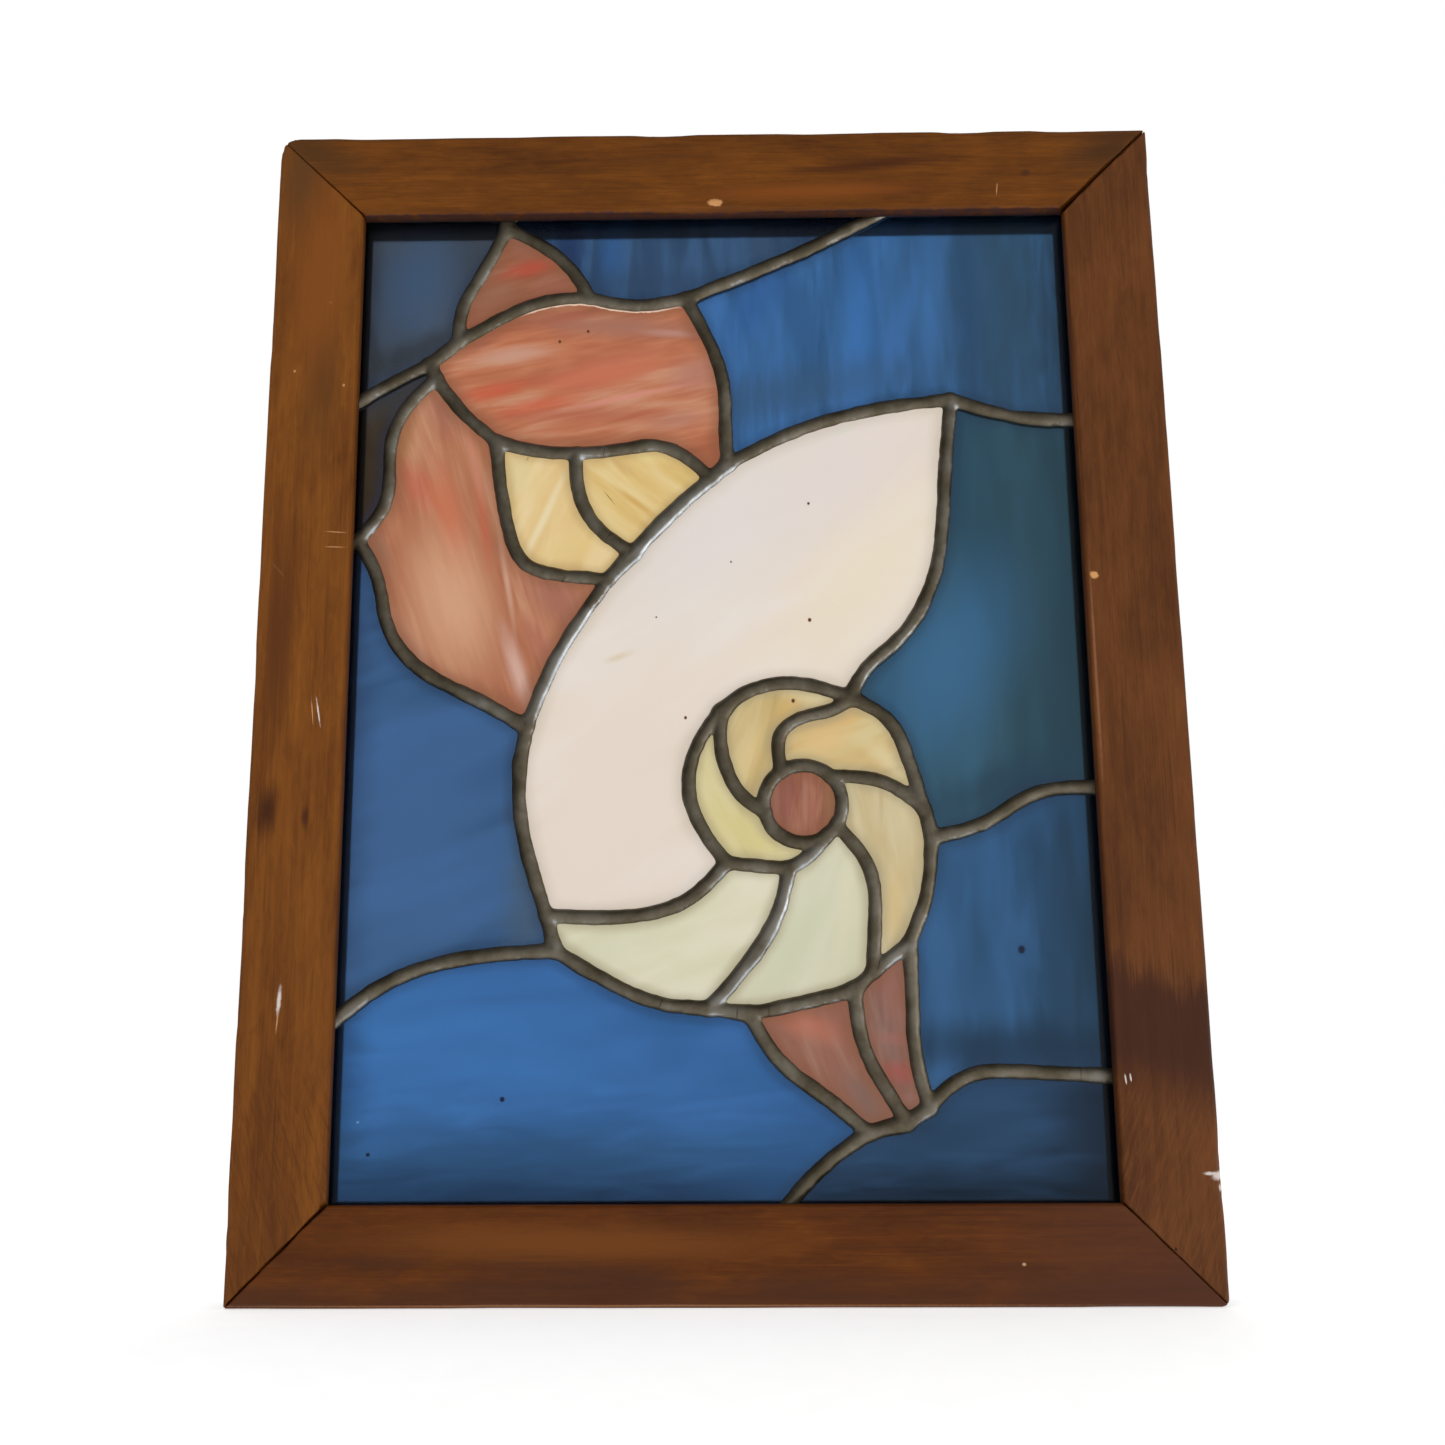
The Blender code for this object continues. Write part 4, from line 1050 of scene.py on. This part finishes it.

# Areas of another colour: place in percent, lean in degrees, half sizes in millimetres, colour and strength.
# The dark strips of the blue pieces along the frame are painted shade.
GLASS_PATCHES = {
    "blue_glass_top_left": [
        ((9, 92.5), 70, (20, 12), (62, 86, 116), 0.75), ((18, 93), 84, (24, 5), (62, 68, 78), 0.6),
        # Painted shade: the first patch below darkens the glass along the left rail
        ((1, 88), 90, (60, 5), (36, 36, 41), 0.85), ((10, 85), 20, (30, 5), (48, 51, 55), 0.7),
    ],
    "blue_glass_top": [
        ((30, 96), 90, (18, 5), (32, 51, 93), 0.7), ((36, 96), 90, (14, 4), (51, 94, 148), 0.6),
        ((43, 92), 0, (25, 5), (46, 67, 95), 0.6), ((57, 97), 90, (12, 4), (64, 88, 116), 0.6),
        ((62, 97.5), 20, (12, 4), (41, 60, 86), 0.6),
    ],
    "blue_glass_upper_right": [
        # Painted shade: both patches below darken the glass towards the right rail
        ((90, 88), 90, (70, 24), (45, 71, 90), 0.85), ((99, 88), 90, (60, 8), (32, 51, 64), 0.85),
        ((70, 87), 90, (26, 5), (64, 121, 188), 0.6), ((80, 90), 88, (30, 4), (66, 117, 175), 0.5),
        ((85, 88), 90, (50, 4), (42, 74, 109), 0.7), ((60, 80), 10, (40, 8), (54, 82, 111), 0.6),
        ((56, 90), 60, (16, 7), (48, 91, 150), 0.6),
    ],
    "blue_glass_right": [
        # Painted shade: both patches below darken the glass towards the right rail
        ((101, 58), 90, (100, 22), (27, 48, 56), 0.9), ((92, 62), 90, (100, 12), (45, 73, 86), 0.6),
        ((80, 52), 60, (30, 16), (59, 105, 143), 0.8), ((88, 40), 20, (30, 6), (38, 64, 82), 0.7),
    ],
    "blue_glass_lower_right": [
        # Painted shade: both patches below darken the glass towards the right rail
        ((101, 26), 90, (70, 24), (25, 46, 60), 0.9), ((94, 26), 90, (60, 8), (37, 64, 87), 0.6),
        ((90, 15), 0, (60, 7), (28, 48, 67), 0.75), ((80, 34), 20, (20, 6), (54, 92, 130), 0.5),
    ],
    "blue_glass_bottom_right": [
        # Painted shade: both patches below darken the glass towards the right rail and the bottom rail
        ((99, 6), 90, (40, 18), (20, 32, 46), 0.9), ((80, 0), 0, (90, 13), (5, 19, 32), 0.92),
    ],
    "blue_glass_bottom_left": [
        # Painted shade: the first three patches below darken the glass towards the left rail and the bottom
        # rail
        ((0, 12), 90, (50, 10), (32, 61, 99), 0.85), ((30, 4), 0, (120, 14), (37, 69, 101), 0.8),
        ((30, 0), 0, (120, 12), (20, 42, 68), 0.9), ((64, 7), 20, (30, 14), (39, 78, 121), 0.7),
    ],
    "blue_glass_left": [
        # Painted shade: the second patch below darkens the glass along the left rail
        ((26, 34), 88, (50, 7), (70, 89, 108), 0.8), ((0, 45), 90, (100, 9), (40, 58, 91), 0.85),
        ((14, 19), 10, (50, 10), (48, 77, 112), 0.6), ((16, 42), 20, (30, 14), (64, 101, 148), 0.5),
    ],
    "blue_glass_left_edge": [
        ((5, 81), 0, (12, 10), (55, 58, 62), 0.7), ((2, 66), 0, (12, 8), (55, 40, 27), 0.6),
    ],
    "pink_glass_hood_tip": [
        ((24.5, 93.8), 14, (8.5, 2.6), (182, 74, 56), 0.75),
        ((19.5, 90.4), 20, (8, 4), (148, 100, 76), 0.7), ((23, 96.6), -50, (6, 3), (152, 104, 88), 0.6),
        ((28, 91.5), 10, (6, 3), (158, 96, 78), 0.7),
    ],
    "pink_glass_hood": [
        ((19.5, 80.2), 14, (11, 2.4), (200, 88, 62), 0.7),
        ((26, 78.7), 12, (13, 2.2), (202, 92, 66), 0.62),
        ((34.5, 82), 12, (17, 3.4), (200, 100, 74), 0.7),
        ((36.5, 82.6), 10, (20, 7), (196, 118, 90), 0.5),
        ((17.5, 85.3), 20, (6, 2.2), (164, 96, 74), 0.7),
        ((22.5, 84.2), 8, (10, 2.4), (198, 150, 130), 0.85),
        ((37, 87.2), -4, (26, 3.6), (158, 110, 94), 0.75),
        ((44, 86.4), -4, (8, 1.2), (186, 138, 124), 0.75),
        ((37.4, 79.4), 12, (23, 0.9), (210, 140, 122), 0.8),
        ((47.8, 82), 8, (9, 5.5), (172, 112, 97), 0.7), ((44.5, 77), 6, (8, 3), (176, 116, 98), 0.7),
        ((34, 77.6), 0, (20, 2.6), (174, 98, 74), 0.7),
        ((30, 88.4), 8, (15, 1.8), (166, 96, 76), 0.7),
    ],
    "pink_glass_hood_left": [
        ((7.8, 75.4), 80, (8.5, 3), (164, 114, 72), 0.8),
        ((13.1, 78.4), -70, (9, 5), (158, 102, 84), 0.7),
        ((10, 70), -64, (8, 3.4), (190, 96, 72), 0.7),
        ((14, 67.1), -76, (16, 4.2), (200, 112, 80), 0.75),
        ((18.9, 66), -82, (13, 1.4), (190, 98, 72), 0.65),
        ((17.3, 72.7), -76, (13, 1.4), (200, 136, 110), 0.65),
        ((14.8, 58.1), -72, (20, 10), (212, 162, 128), 0.9),
        ((22, 60.5), -80, (14, 0.9), (212, 172, 148), 0.65),
        ((23.6, 51.2), -72, (12, 2.4), (212, 172, 156), 0.85),
        ((28.9, 58.3), -40, (11, 6.5), (164, 106, 88), 0.85),
        ((26.6, 53.8), -62, (9, 3), (176, 108, 90), 0.7), ((4.8, 63.8), -60, (8, 3), (156, 110, 86), 0.8),
        ((9, 54), -50, (12, 3), (176, 126, 104), 0.6),
    ],
    "pink_glass_tail_left": [
        ((61, 17), -20, (10, 4), (186, 112, 90), 0.7), ((68, 10), -60, (10, 5), (126, 98, 88), 0.8),
    ],
    "pink_glass_tail_right": [
        ((73.2, 12.6), -6, (9, 2.8), (164, 84, 80), 0.9),
        ((72.6, 15.6), -8, (9, 1.6), (156, 102, 92), 0.8),
        ((73.6, 10.4), 0, (7, 1.4), (152, 112, 104), 0.7), ((74.2, 8.4), 0, (7, 3), (116, 88, 84), 0.8),
        ((71.5, 20), -70, (10, 4), (150, 98, 84), 0.7),
    ],
    "pink_glass_eye": [
        ((57.4, 38), 88, (12, 1), (172, 126, 116), 0.6),
        ((59, 39), 88, (12, 1.4), (148, 92, 84), 0.7),
        ((61.2, 38), 90, (12, 0.8), (172, 122, 102), 0.6),
        ((64.6, 37.6), 88, (12, 3), (144, 104, 70), 0.75),
    ],
    "cream_glass_left": [
        ((26.5, 66), 66, (20, 1.2), (234, 218, 178), 0.8),
        ((31, 63.6), 20, (9, 4), (226, 198, 134), 0.75),
        ((23, 71), 80, (9, 4), (224, 210, 160), 0.7),
        ((24.6, 73), 60, (0.6, 0.3), (120, 90, 50), 0.7),
    ],
    "cream_glass_right": [
        ((39.2, 68.3), -38, (7.5, 0.9), (208, 164, 92), 0.85),
        ((37.2, 72.2), -40, (4.5, 1.2), (208, 172, 114), 0.8),
        ((33.9, 72.4), 0, (4, 2), (214, 182, 120), 0.7),
        ((35.7, 68.8), -52, (2.4, 0.18), (128, 100, 52), 0.8),
        ((42, 73), 0, (8, 2), (228, 206, 140), 0.6), ((46.4, 71.4), 30, (4, 2), (210, 184, 104), 0.6),
    ],
    "chamber_glass_1": [
        ((58.6, 45.6), 70, (10, 3), (210, 170, 98), 0.75),
        ((62.5, 48.4), -10, (9, 2.4), (224, 208, 162), 0.7),
        ((54.5, 43), 70, (11, 3), (222, 196, 140), 0.6),
    ],
    "chamber_glass_2": [
        ((54, 34.6), -40, (12, 2.6), (216, 204, 140), 0.6),
    ],
    "chamber_glass_3": [
        ((64, 44), 20, (8, 4), (224, 188, 128), 0.7),
        ((72.6, 41.6), -40, (9, 3), (224, 210, 164), 0.7),
        ((66.6, 46), 10, (6, 2), (218, 182, 118), 0.6),
    ],
    "chamber_glass_4": [
        ((77.6, 31), -80, (24, 2.6), (214, 182, 126), 0.8),
        ((71, 38.4), 88, (8, 0.7), (196, 174, 130), 0.8),
        ((72, 28), 80, (11, 3), (216, 190, 134), 0.6),
    ],
    "chamber_glass_5": [
        ((60, 25), 60, (20, 7), (204, 208, 178), 0.6),
        ((66.5, 30), 80, (15, 3), (220, 216, 186), 0.6),
    ],
    "chamber_glass_6": [
        ((36, 24), 20, (22, 5), (214, 213, 184), 0.6),
        ((54, 28), 50, (12, 6), (224, 217, 190), 0.6),
    ],
    "white_glass_shell": [
        ((52, 66), 40, (50, 20), (226, 219, 215), 0.8), ((70, 72), 40, (30, 20), (228, 216, 210), 0.7),
        ((70, 60), 50, (40, 14), (234, 221, 198), 0.8), ((34, 36), 70, (50, 25), (232, 217, 203), 0.8),
        ((37, 52.4), 20, (4, 1), (216, 198, 168), 0.7),
        ((68, 76), 30, (6, 1), (214, 216, 200), 0.5),
    ],
}

# The junctions around each piece of glass, in turn
GLASS_RINGS = {
    "blue_glass_top_left": "left_high cheek_top brow_left hood_tip top_at_tip corner_top_left",
    "blue_glass_top": "top_at_tip hood_tip brow_middle brow_right top_at_back",
    "blue_glass_upper_right": "top_at_back brow_right lip_top shoulder right_high corner_top_right",
    "blue_glass_right": "right_high shoulder coil_top side_high side_low right_middle",
    "blue_glass_lower_right": "right_middle side_low tail_right tip_right right_low",
    "blue_glass_bottom_right": "right_low tip_right tip_middle tip_left foot_middle corner_foot_right",
    "blue_glass_bottom_left": "foot_middle tip_left tail_left keel_middle keel_low left_low "
    "corner_foot_left",
    "blue_glass_left": "left_low keel_low keel_left jaw_right jaw_left left_middle",
    "blue_glass_left_edge": "left_middle jaw_left cheek_foot cheek_top left_high",
    "pink_glass_hood_tip": "brow_left brow_middle hood_tip",
    "pink_glass_hood": "cheek_top cheek_foot cream_left cream_middle lip_left lip_top "
    "brow_right brow_middle brow_left",
    "pink_glass_hood_left": "cheek_foot jaw_left jaw_right cream_foot cream_left",
    "pink_glass_tail_left": "tail_left tip_left tip_middle tail_middle",
    "pink_glass_tail_right": "tail_middle tip_middle tip_right tail_right keel_right",
    "pink_glass_eye": "eye_right eye_top eye_left eye_foot eye_low_right",
    "cream_glass_left": "cream_left cream_foot cream_notch cream_middle",
    "cream_glass_right": "cream_middle cream_notch lip_left",
    "chamber_glass_1": "coil_left eye_left eye_top coil_top",
    "chamber_glass_2": "coil_left coil_foot coil_inner eye_foot eye_left",
    "chamber_glass_3": "coil_top eye_top eye_right side_high",
    "chamber_glass_4": "side_high eye_right eye_low_right keel_right tail_right side_low",
    "chamber_glass_5": "eye_low_right eye_foot coil_inner keel_middle tail_left tail_middle keel_right",
    "chamber_glass_6": "coil_inner coil_foot keel_left keel_low keel_middle",
    "white_glass_shell": "shoulder lip_top lip_left cream_notch cream_foot jaw_right keel_left "
    "coil_foot coil_left coil_top",
}
GLASS_CELL = 0.00125
GLASS_INSET = 0.0008
GLASS_WAVE = 0.00004
GLASS_RIPPLES = ((0.7, 0.021, 0), (0.3, 0.008, 1))
GLASS_SHARP_ANGLE = 50

DARK_SPECK = (96, 48, 36)

# Small specks in a piece of glass: place in percent, radius in millimetres and colour
GLASS_SPECKS = {
    "white_glass_shell": [
        ((62.5, 68), 0.45, DARK_SPECK), ((62.3, 56), 0.6, DARK_SPECK),
        ((52, 62), 0.3, DARK_SPECK), ((42, 56.4), 0.3, DARK_SPECK), ((45.8, 46.3), 0.5, DARK_SPECK),
    ],
    "pink_glass_hood": [
        ((32.7, 86.7), 0.5, DARK_SPECK), ((28.8, 85.6), 0.5, (90, 60, 40)),
    ],
    "blue_glass_lower_right": [
        ((88.2, 23.9), 1.1, (24, 36, 58)),
    ],
    "blue_glass_bottom_left": [
        ((22.6, 10.4), 0.7, (20, 30, 50)), ((6, 5.5), 0.5, (14, 18, 26)),
        ((4.6, 8.4), 0.3, (150, 170, 190)),
    ],
    "chamber_glass_1": [
        ((59.9, 47.9), 0.6, DARK_SPECK),
    ],
}

BLUE_CLEARNESS = 0.94
CLEAR_GLASS_GLOSS = paint(140, 140, 140)
MILKY_GLASS_GLOSS = paint(255, 255, 255)
CHIPPED_EDGE = paint(238, 206, 182)
CHIPPED_PLACE = (35.0, 90.0)
CHIPPED_SIZES = (30, 8)
SHEET_DEPTH = 0.05
STREAK_STOPS = (0.36, 0.5, 0.64)

# Each kind of glass: colour, strength and width of its rim beside the solder, which is painted shadow of the
# bead mixed with grime, and its share of fine wisps
GLASS_KINDS = {
    "blue": ((34, 50, 74), 0.45, 0.0045, 0.20),
    "pink": ((138, 88, 62), 0.60, 0.0055, 0.34),
    "cream": ((188, 158, 106), 0.60, 0.0036, 0.14),
    "chamber": ((168, 156, 124), 0.60, 0.0036, 0.14),
    "white": ((206, 194, 178), 0.55, 0.0050, 0.10),
}


def glass_finish(name):
    """Hand-rolled art glass: long soft streaks of three tones, areas of colour, some of them painted shade
    along the frame, a rim of painted bead shadow and grime beside the solder, specks and a wavy gloss.
    """
    lean, (long, wide), *tones = GLASS_STREAKS[name]
    kind = name.split("_")[0]
    shade_and_grime_colour, shade_and_grime_strength, shade_and_grime_width, wispiness = GLASS_KINDS[kind]
    see_through = BLUE_CLEARNESS if kind == "blue" else 0.0
    finish = Finish(
        "art_glass_" + name,
        IOR=1.5,
        Specular_IOR_Level=0.25,
        Specular_Tint=CLEAR_GLASS_GLOSS if see_through else MILKY_GLASS_GLOSS,
        Transmission_Weight=see_through,
    )
    seed = 1 + list(GLASS_STREAKS).index(name)
    where = finish.place((0.011 * seed, 0.0, 0.007 * seed), lean, (long / 1000, SHEET_DEPTH, wide / 1000))
    streaks = finish.noise(where, 2.0, 0.5, 0.6)
    where = finish.place((0.023 * seed, 0.0, 0.005), lean, (long / 2500, SHEET_DEPTH, wide / 4000))
    wisps = finish.noise(where, 2.0, 0.5, 0.8)
    tone = streaks * (1 - wispiness) + wisps * wispiness
    colour = finish.ramp(tone, [(stop, paint(*shade)) for stop, shade in zip(STREAK_STOPS, tones)])
    for centre, patch_lean, sizes, patch_colour, strength in GLASS_PATCHES[name]:
        mask = finish.spot(panel_point(centre), patch_lean, sizes, 0.9, wisps)
        colour = finish.mix(colour, paint(*patch_colour), mask * strength)
    from_bead = finish.stored("from_bead")
    # Painted shadow of the bead, mixed with grime, darkens the glass beside the solder
    shade_and_grime_rim = finish.step(from_bead + (streaks - 0.5) * shade_and_grime_width, shade_and_grime_width, -0.0006)
    colour = finish.mix(colour, paint(*shade_and_grime_colour), shade_and_grime_rim * shade_and_grime_strength)
    for centre, radius, speck_colour in GLASS_SPECKS.get(name, []):
        mask = finish.spot(panel_point(centre), 0, (radius, radius * 1.2), 0.3)
        colour = finish.mix(colour, paint(*speck_colour), mask)
    if name == "pink_glass_hood":
        edge = finish.step(from_bead + (finish.clouds(0.0030) - 0.5) * 0.0012, 0.00065, 0.00035)
        chipped = edge * finish.spot(panel_point(CHIPPED_PLACE), 4, CHIPPED_SIZES, 0.15)
        colour = finish.mix(colour, CHIPPED_EDGE, chipped * 0.9)
    finish.set("Base Color", colour)
    swell = finish.noise(finish.place((0.01 * seed, 0, 0), 0, (0.016, 0.016, 0.016)), 2.0, 0.5)
    finish.set("Roughness", 0.15 + (swell - 0.5) * 0.1)
    finish.bump(swell, 0.2, 0.0005)
    return finish


def inside_ring(x, z, ring):
    """True where a point lies inside a ring, by counting the ring's sides to the point's right."""
    crossings = np.zeros(x.shape, int)
    for start, end in zip(ring, np.roll(ring, -1, axis=0)):
        if start[1] == end[1]:
            continue
        where = start[0] + (z - start[1]) / (end[1] - start[1]) * (end[0] - start[0])
        crossings += ((start[1] > z) != (end[1] > z)) & (where > x)
    return crossings % 2 == 1


def centre_line_distance(x, z):
    """The distance of each point from the nearest seam's centre line or edge of the panel."""
    least = np.full(x.shape, np.inf)
    for _, window, distance in seam_distances(x, z):
        least[window] = np.minimum(least[window], distance)
    return least


def make_glass():
    """One rolled plate for each piece of glass, with gently wavy faces.

    A plate fills the grid's cells inside its ring of seams. Its border slides to GLASS_INSET from the
    centre lines. The faces sink by up to twice GLASS_WAVE of smooth noise. Each point keeps its distance
    from the beads.
    """
    x, z = panel_grid(round(PANEL_WIDTH / GLASS_CELL) + 1, round(PANEL_HEIGHT / GLASS_CELL) + 1)
    middle_x, middle_z = (x[1:, 1:] + x[1:, :-1]) / 2, (z[1:, 1:] + z[:-1, 1:]) / 2
    outside, _ = bead_field(x, z)
    from_line = centre_line_distance(x, z)
    open_cells = corner_sum(from_line) > 4 * GLASS_INSET
    front_y = GLASS_FRONT_Y + GLASS_WAVE * (1 + ripples(x, z, GLASS_RIPPLES, FRONT_GLASS_SEED))
    back_y = GLASS_BACK_Y - GLASS_WAVE * (1 + ripples(x, z, GLASS_RIPPLES, BACK_GLASS_SEED))
    for name, around in GLASS_RINGS.items():
        junctions = around.split()
        sides = zip(junctions, junctions[1:] + junctions[:1])
        ring = np.concatenate([seam_path(*ends)[:-1] for ends in sides])
        solid = fill_corner_touches(open_cells & inside_ring(middle_x, middle_z, ring))
        used, border = slab_border(solid)
        plate_x, plate_z = slide_to_level(x, z, from_line, GLASS_INSET, border)
        points, faces = slab_arrays(plate_x, plate_z, front_y, back_y, solid)
        finish = glass_finish(name)
        plate = make_piece("rolled_" + name, points, faces.tolist(), finish, name, GLASS_SHARP_ANGLE)
        store(plate, "from_bead", outside[used])


# Studio

FLOOR_SIZE = 60.0
AMBIENT = 0.48
BACKGROUND = 1.0
GLOSS_SIDE = (0.62, -0.35, -0.70)
LEAST_GLOSS = 0.14
MOST_GLOSS = 1.2

# Each lamp: its place, width and height, power in watts and whether it shows in the gloss
LAMPS = {
    "front_fill": ((-0.6, -1.4, 0.5), (1.0, 1.0), 5.2, False),
    "low_right_strip": ((0.5, -0.22, FRAME_CENTRE_Z - 0.16), (0.35, 0.12), 0.4, True),
    "back_fill": ((0.4, 1.6, 0.6), (1.2, 1.2), 5, False),
}

CAMERA_PLACE = (-0.0109, -0.4852, -0.3192)
CAMERA_FORWARD = Vector((-0.0119, 0.9825, 0.1860))
CAMERA_UP = Vector((0.0063, -0.1859, 0.9826))
CAMERA_SENSOR = 36.0
CAMERA_LENS = 35.93
CAMERA_SHIFT = (0.0372, 0.0566)


def make_floor():
    """A wide pale floor under the window."""
    half = FLOOR_SIZE / 2
    corners = [(-half, -half), (half, -half), (half, half), (-half, half)]
    mesh = bpy.data.meshes.new("studio_floor")
    mesh.from_pydata([(x, y, cad_low.z) for x, y in corners], [], [(0, 1, 2, 3)])
    finish = Finish("pale_floor", Roughness=0.9, Specular_IOR_Level=0.0, Emission_Strength=0.5)
    finish.set("Emission Color", paint(255, 255, 255))
    grain = finish.clouds(0.01, 2.0, 0.5)
    finish.set("Base Color", finish.ramp(grain, [(0.3, paint(244, 244, 244)), (0.7, paint(250, 250, 250))]))
    mesh.materials.append(finish.material)
    floor = bpy.data.objects.new("studio_floor", mesh)
    bpy.context.scene.collection.objects.link(floor)
    floor.visible_glossy = False


def make_world():
    """Even white surroundings, which show dim in the gloss and brighter towards the lower right."""
    world = bpy.data.worlds.new("studio")
    bpy.context.scene.world = world
    world.use_nodes = True
    board = Board(world.node_tree)
    background = world.node_tree.nodes["Background"]
    kinds = ("Is Glossy Ray", "Is Transmission Ray", "Is Diffuse Ray")
    glossy, passing, diffuse = (board.node("LightPath", {}, {}, kind) for kind in kinds)
    glossy = glossy * (1 - passing)
    direction = board.node("TexCoord", {}, {}, "Generated")
    lower_right = tuple(Vector(GLOSS_SIDE).normalized())
    facing = board.node("VectorMath", {"operation": "DOT_PRODUCT"}, {0: direction, 1: lower_right}, "Value")
    mirrored = board.step(facing, -0.5, 1.0, LEAST_GLOSS, MOST_GLOSS)
    plain = BACKGROUND - diffuse * (BACKGROUND - AMBIENT)
    board.feed(background.inputs["Strength"], plain * (1 - glossy) + mirrored * glossy)
    board.feed(background.inputs["Color"], paint(255, 255, 255))


def make_lights():
    """Soft lamps that face the window's middle and aren't seen by the camera or through the glass."""
    middle = Vector((0.0, 0.0, FRAME_CENTRE_Z))
    for name, (place, size, power, in_gloss) in LAMPS.items():
        lamp = bpy.data.lights.new(name, "AREA")
        lamp.shape = "RECTANGLE"
        lamp.size, lamp.size_y = size
        lamp.energy = power
        light = bpy.data.objects.new(name, lamp)
        light.location = place
        light.rotation_euler = (middle - Vector(place)).to_track_quat("-Z", "Y").to_euler()
        light.visible_camera = False
        light.visible_glossy = in_gloss
        light.visible_transmission = False
        bpy.context.scene.collection.objects.link(light)


def make_camera():
    """The camera stands low in front of the window and looks up at it, with the photo's framing."""
    data = bpy.data.cameras.new("photo_camera")
    data.sensor_width = CAMERA_SENSOR
    data.lens = CAMERA_LENS
    data.shift_x, data.shift_y = CAMERA_SHIFT
    data.clip_start = 0.01
    camera = bpy.data.objects.new("photo_camera", data)
    forward = CAMERA_FORWARD.normalized()
    side = forward.cross(CAMERA_UP).normalized()
    up = side.cross(forward)
    turn = Matrix((side, up, -forward)).transposed().to_4x4()
    camera.matrix_world = Matrix.Translation(CAMERA_PLACE) @ turn
    bpy.context.scene.collection.objects.link(camera)
    bpy.context.scene.camera = camera


make_camera()
make_world()
make_lights()
make_floor()
make_solder()
make_frame()
make_glass()
bpy.context.scene.view_settings.view_transform = "Standard"
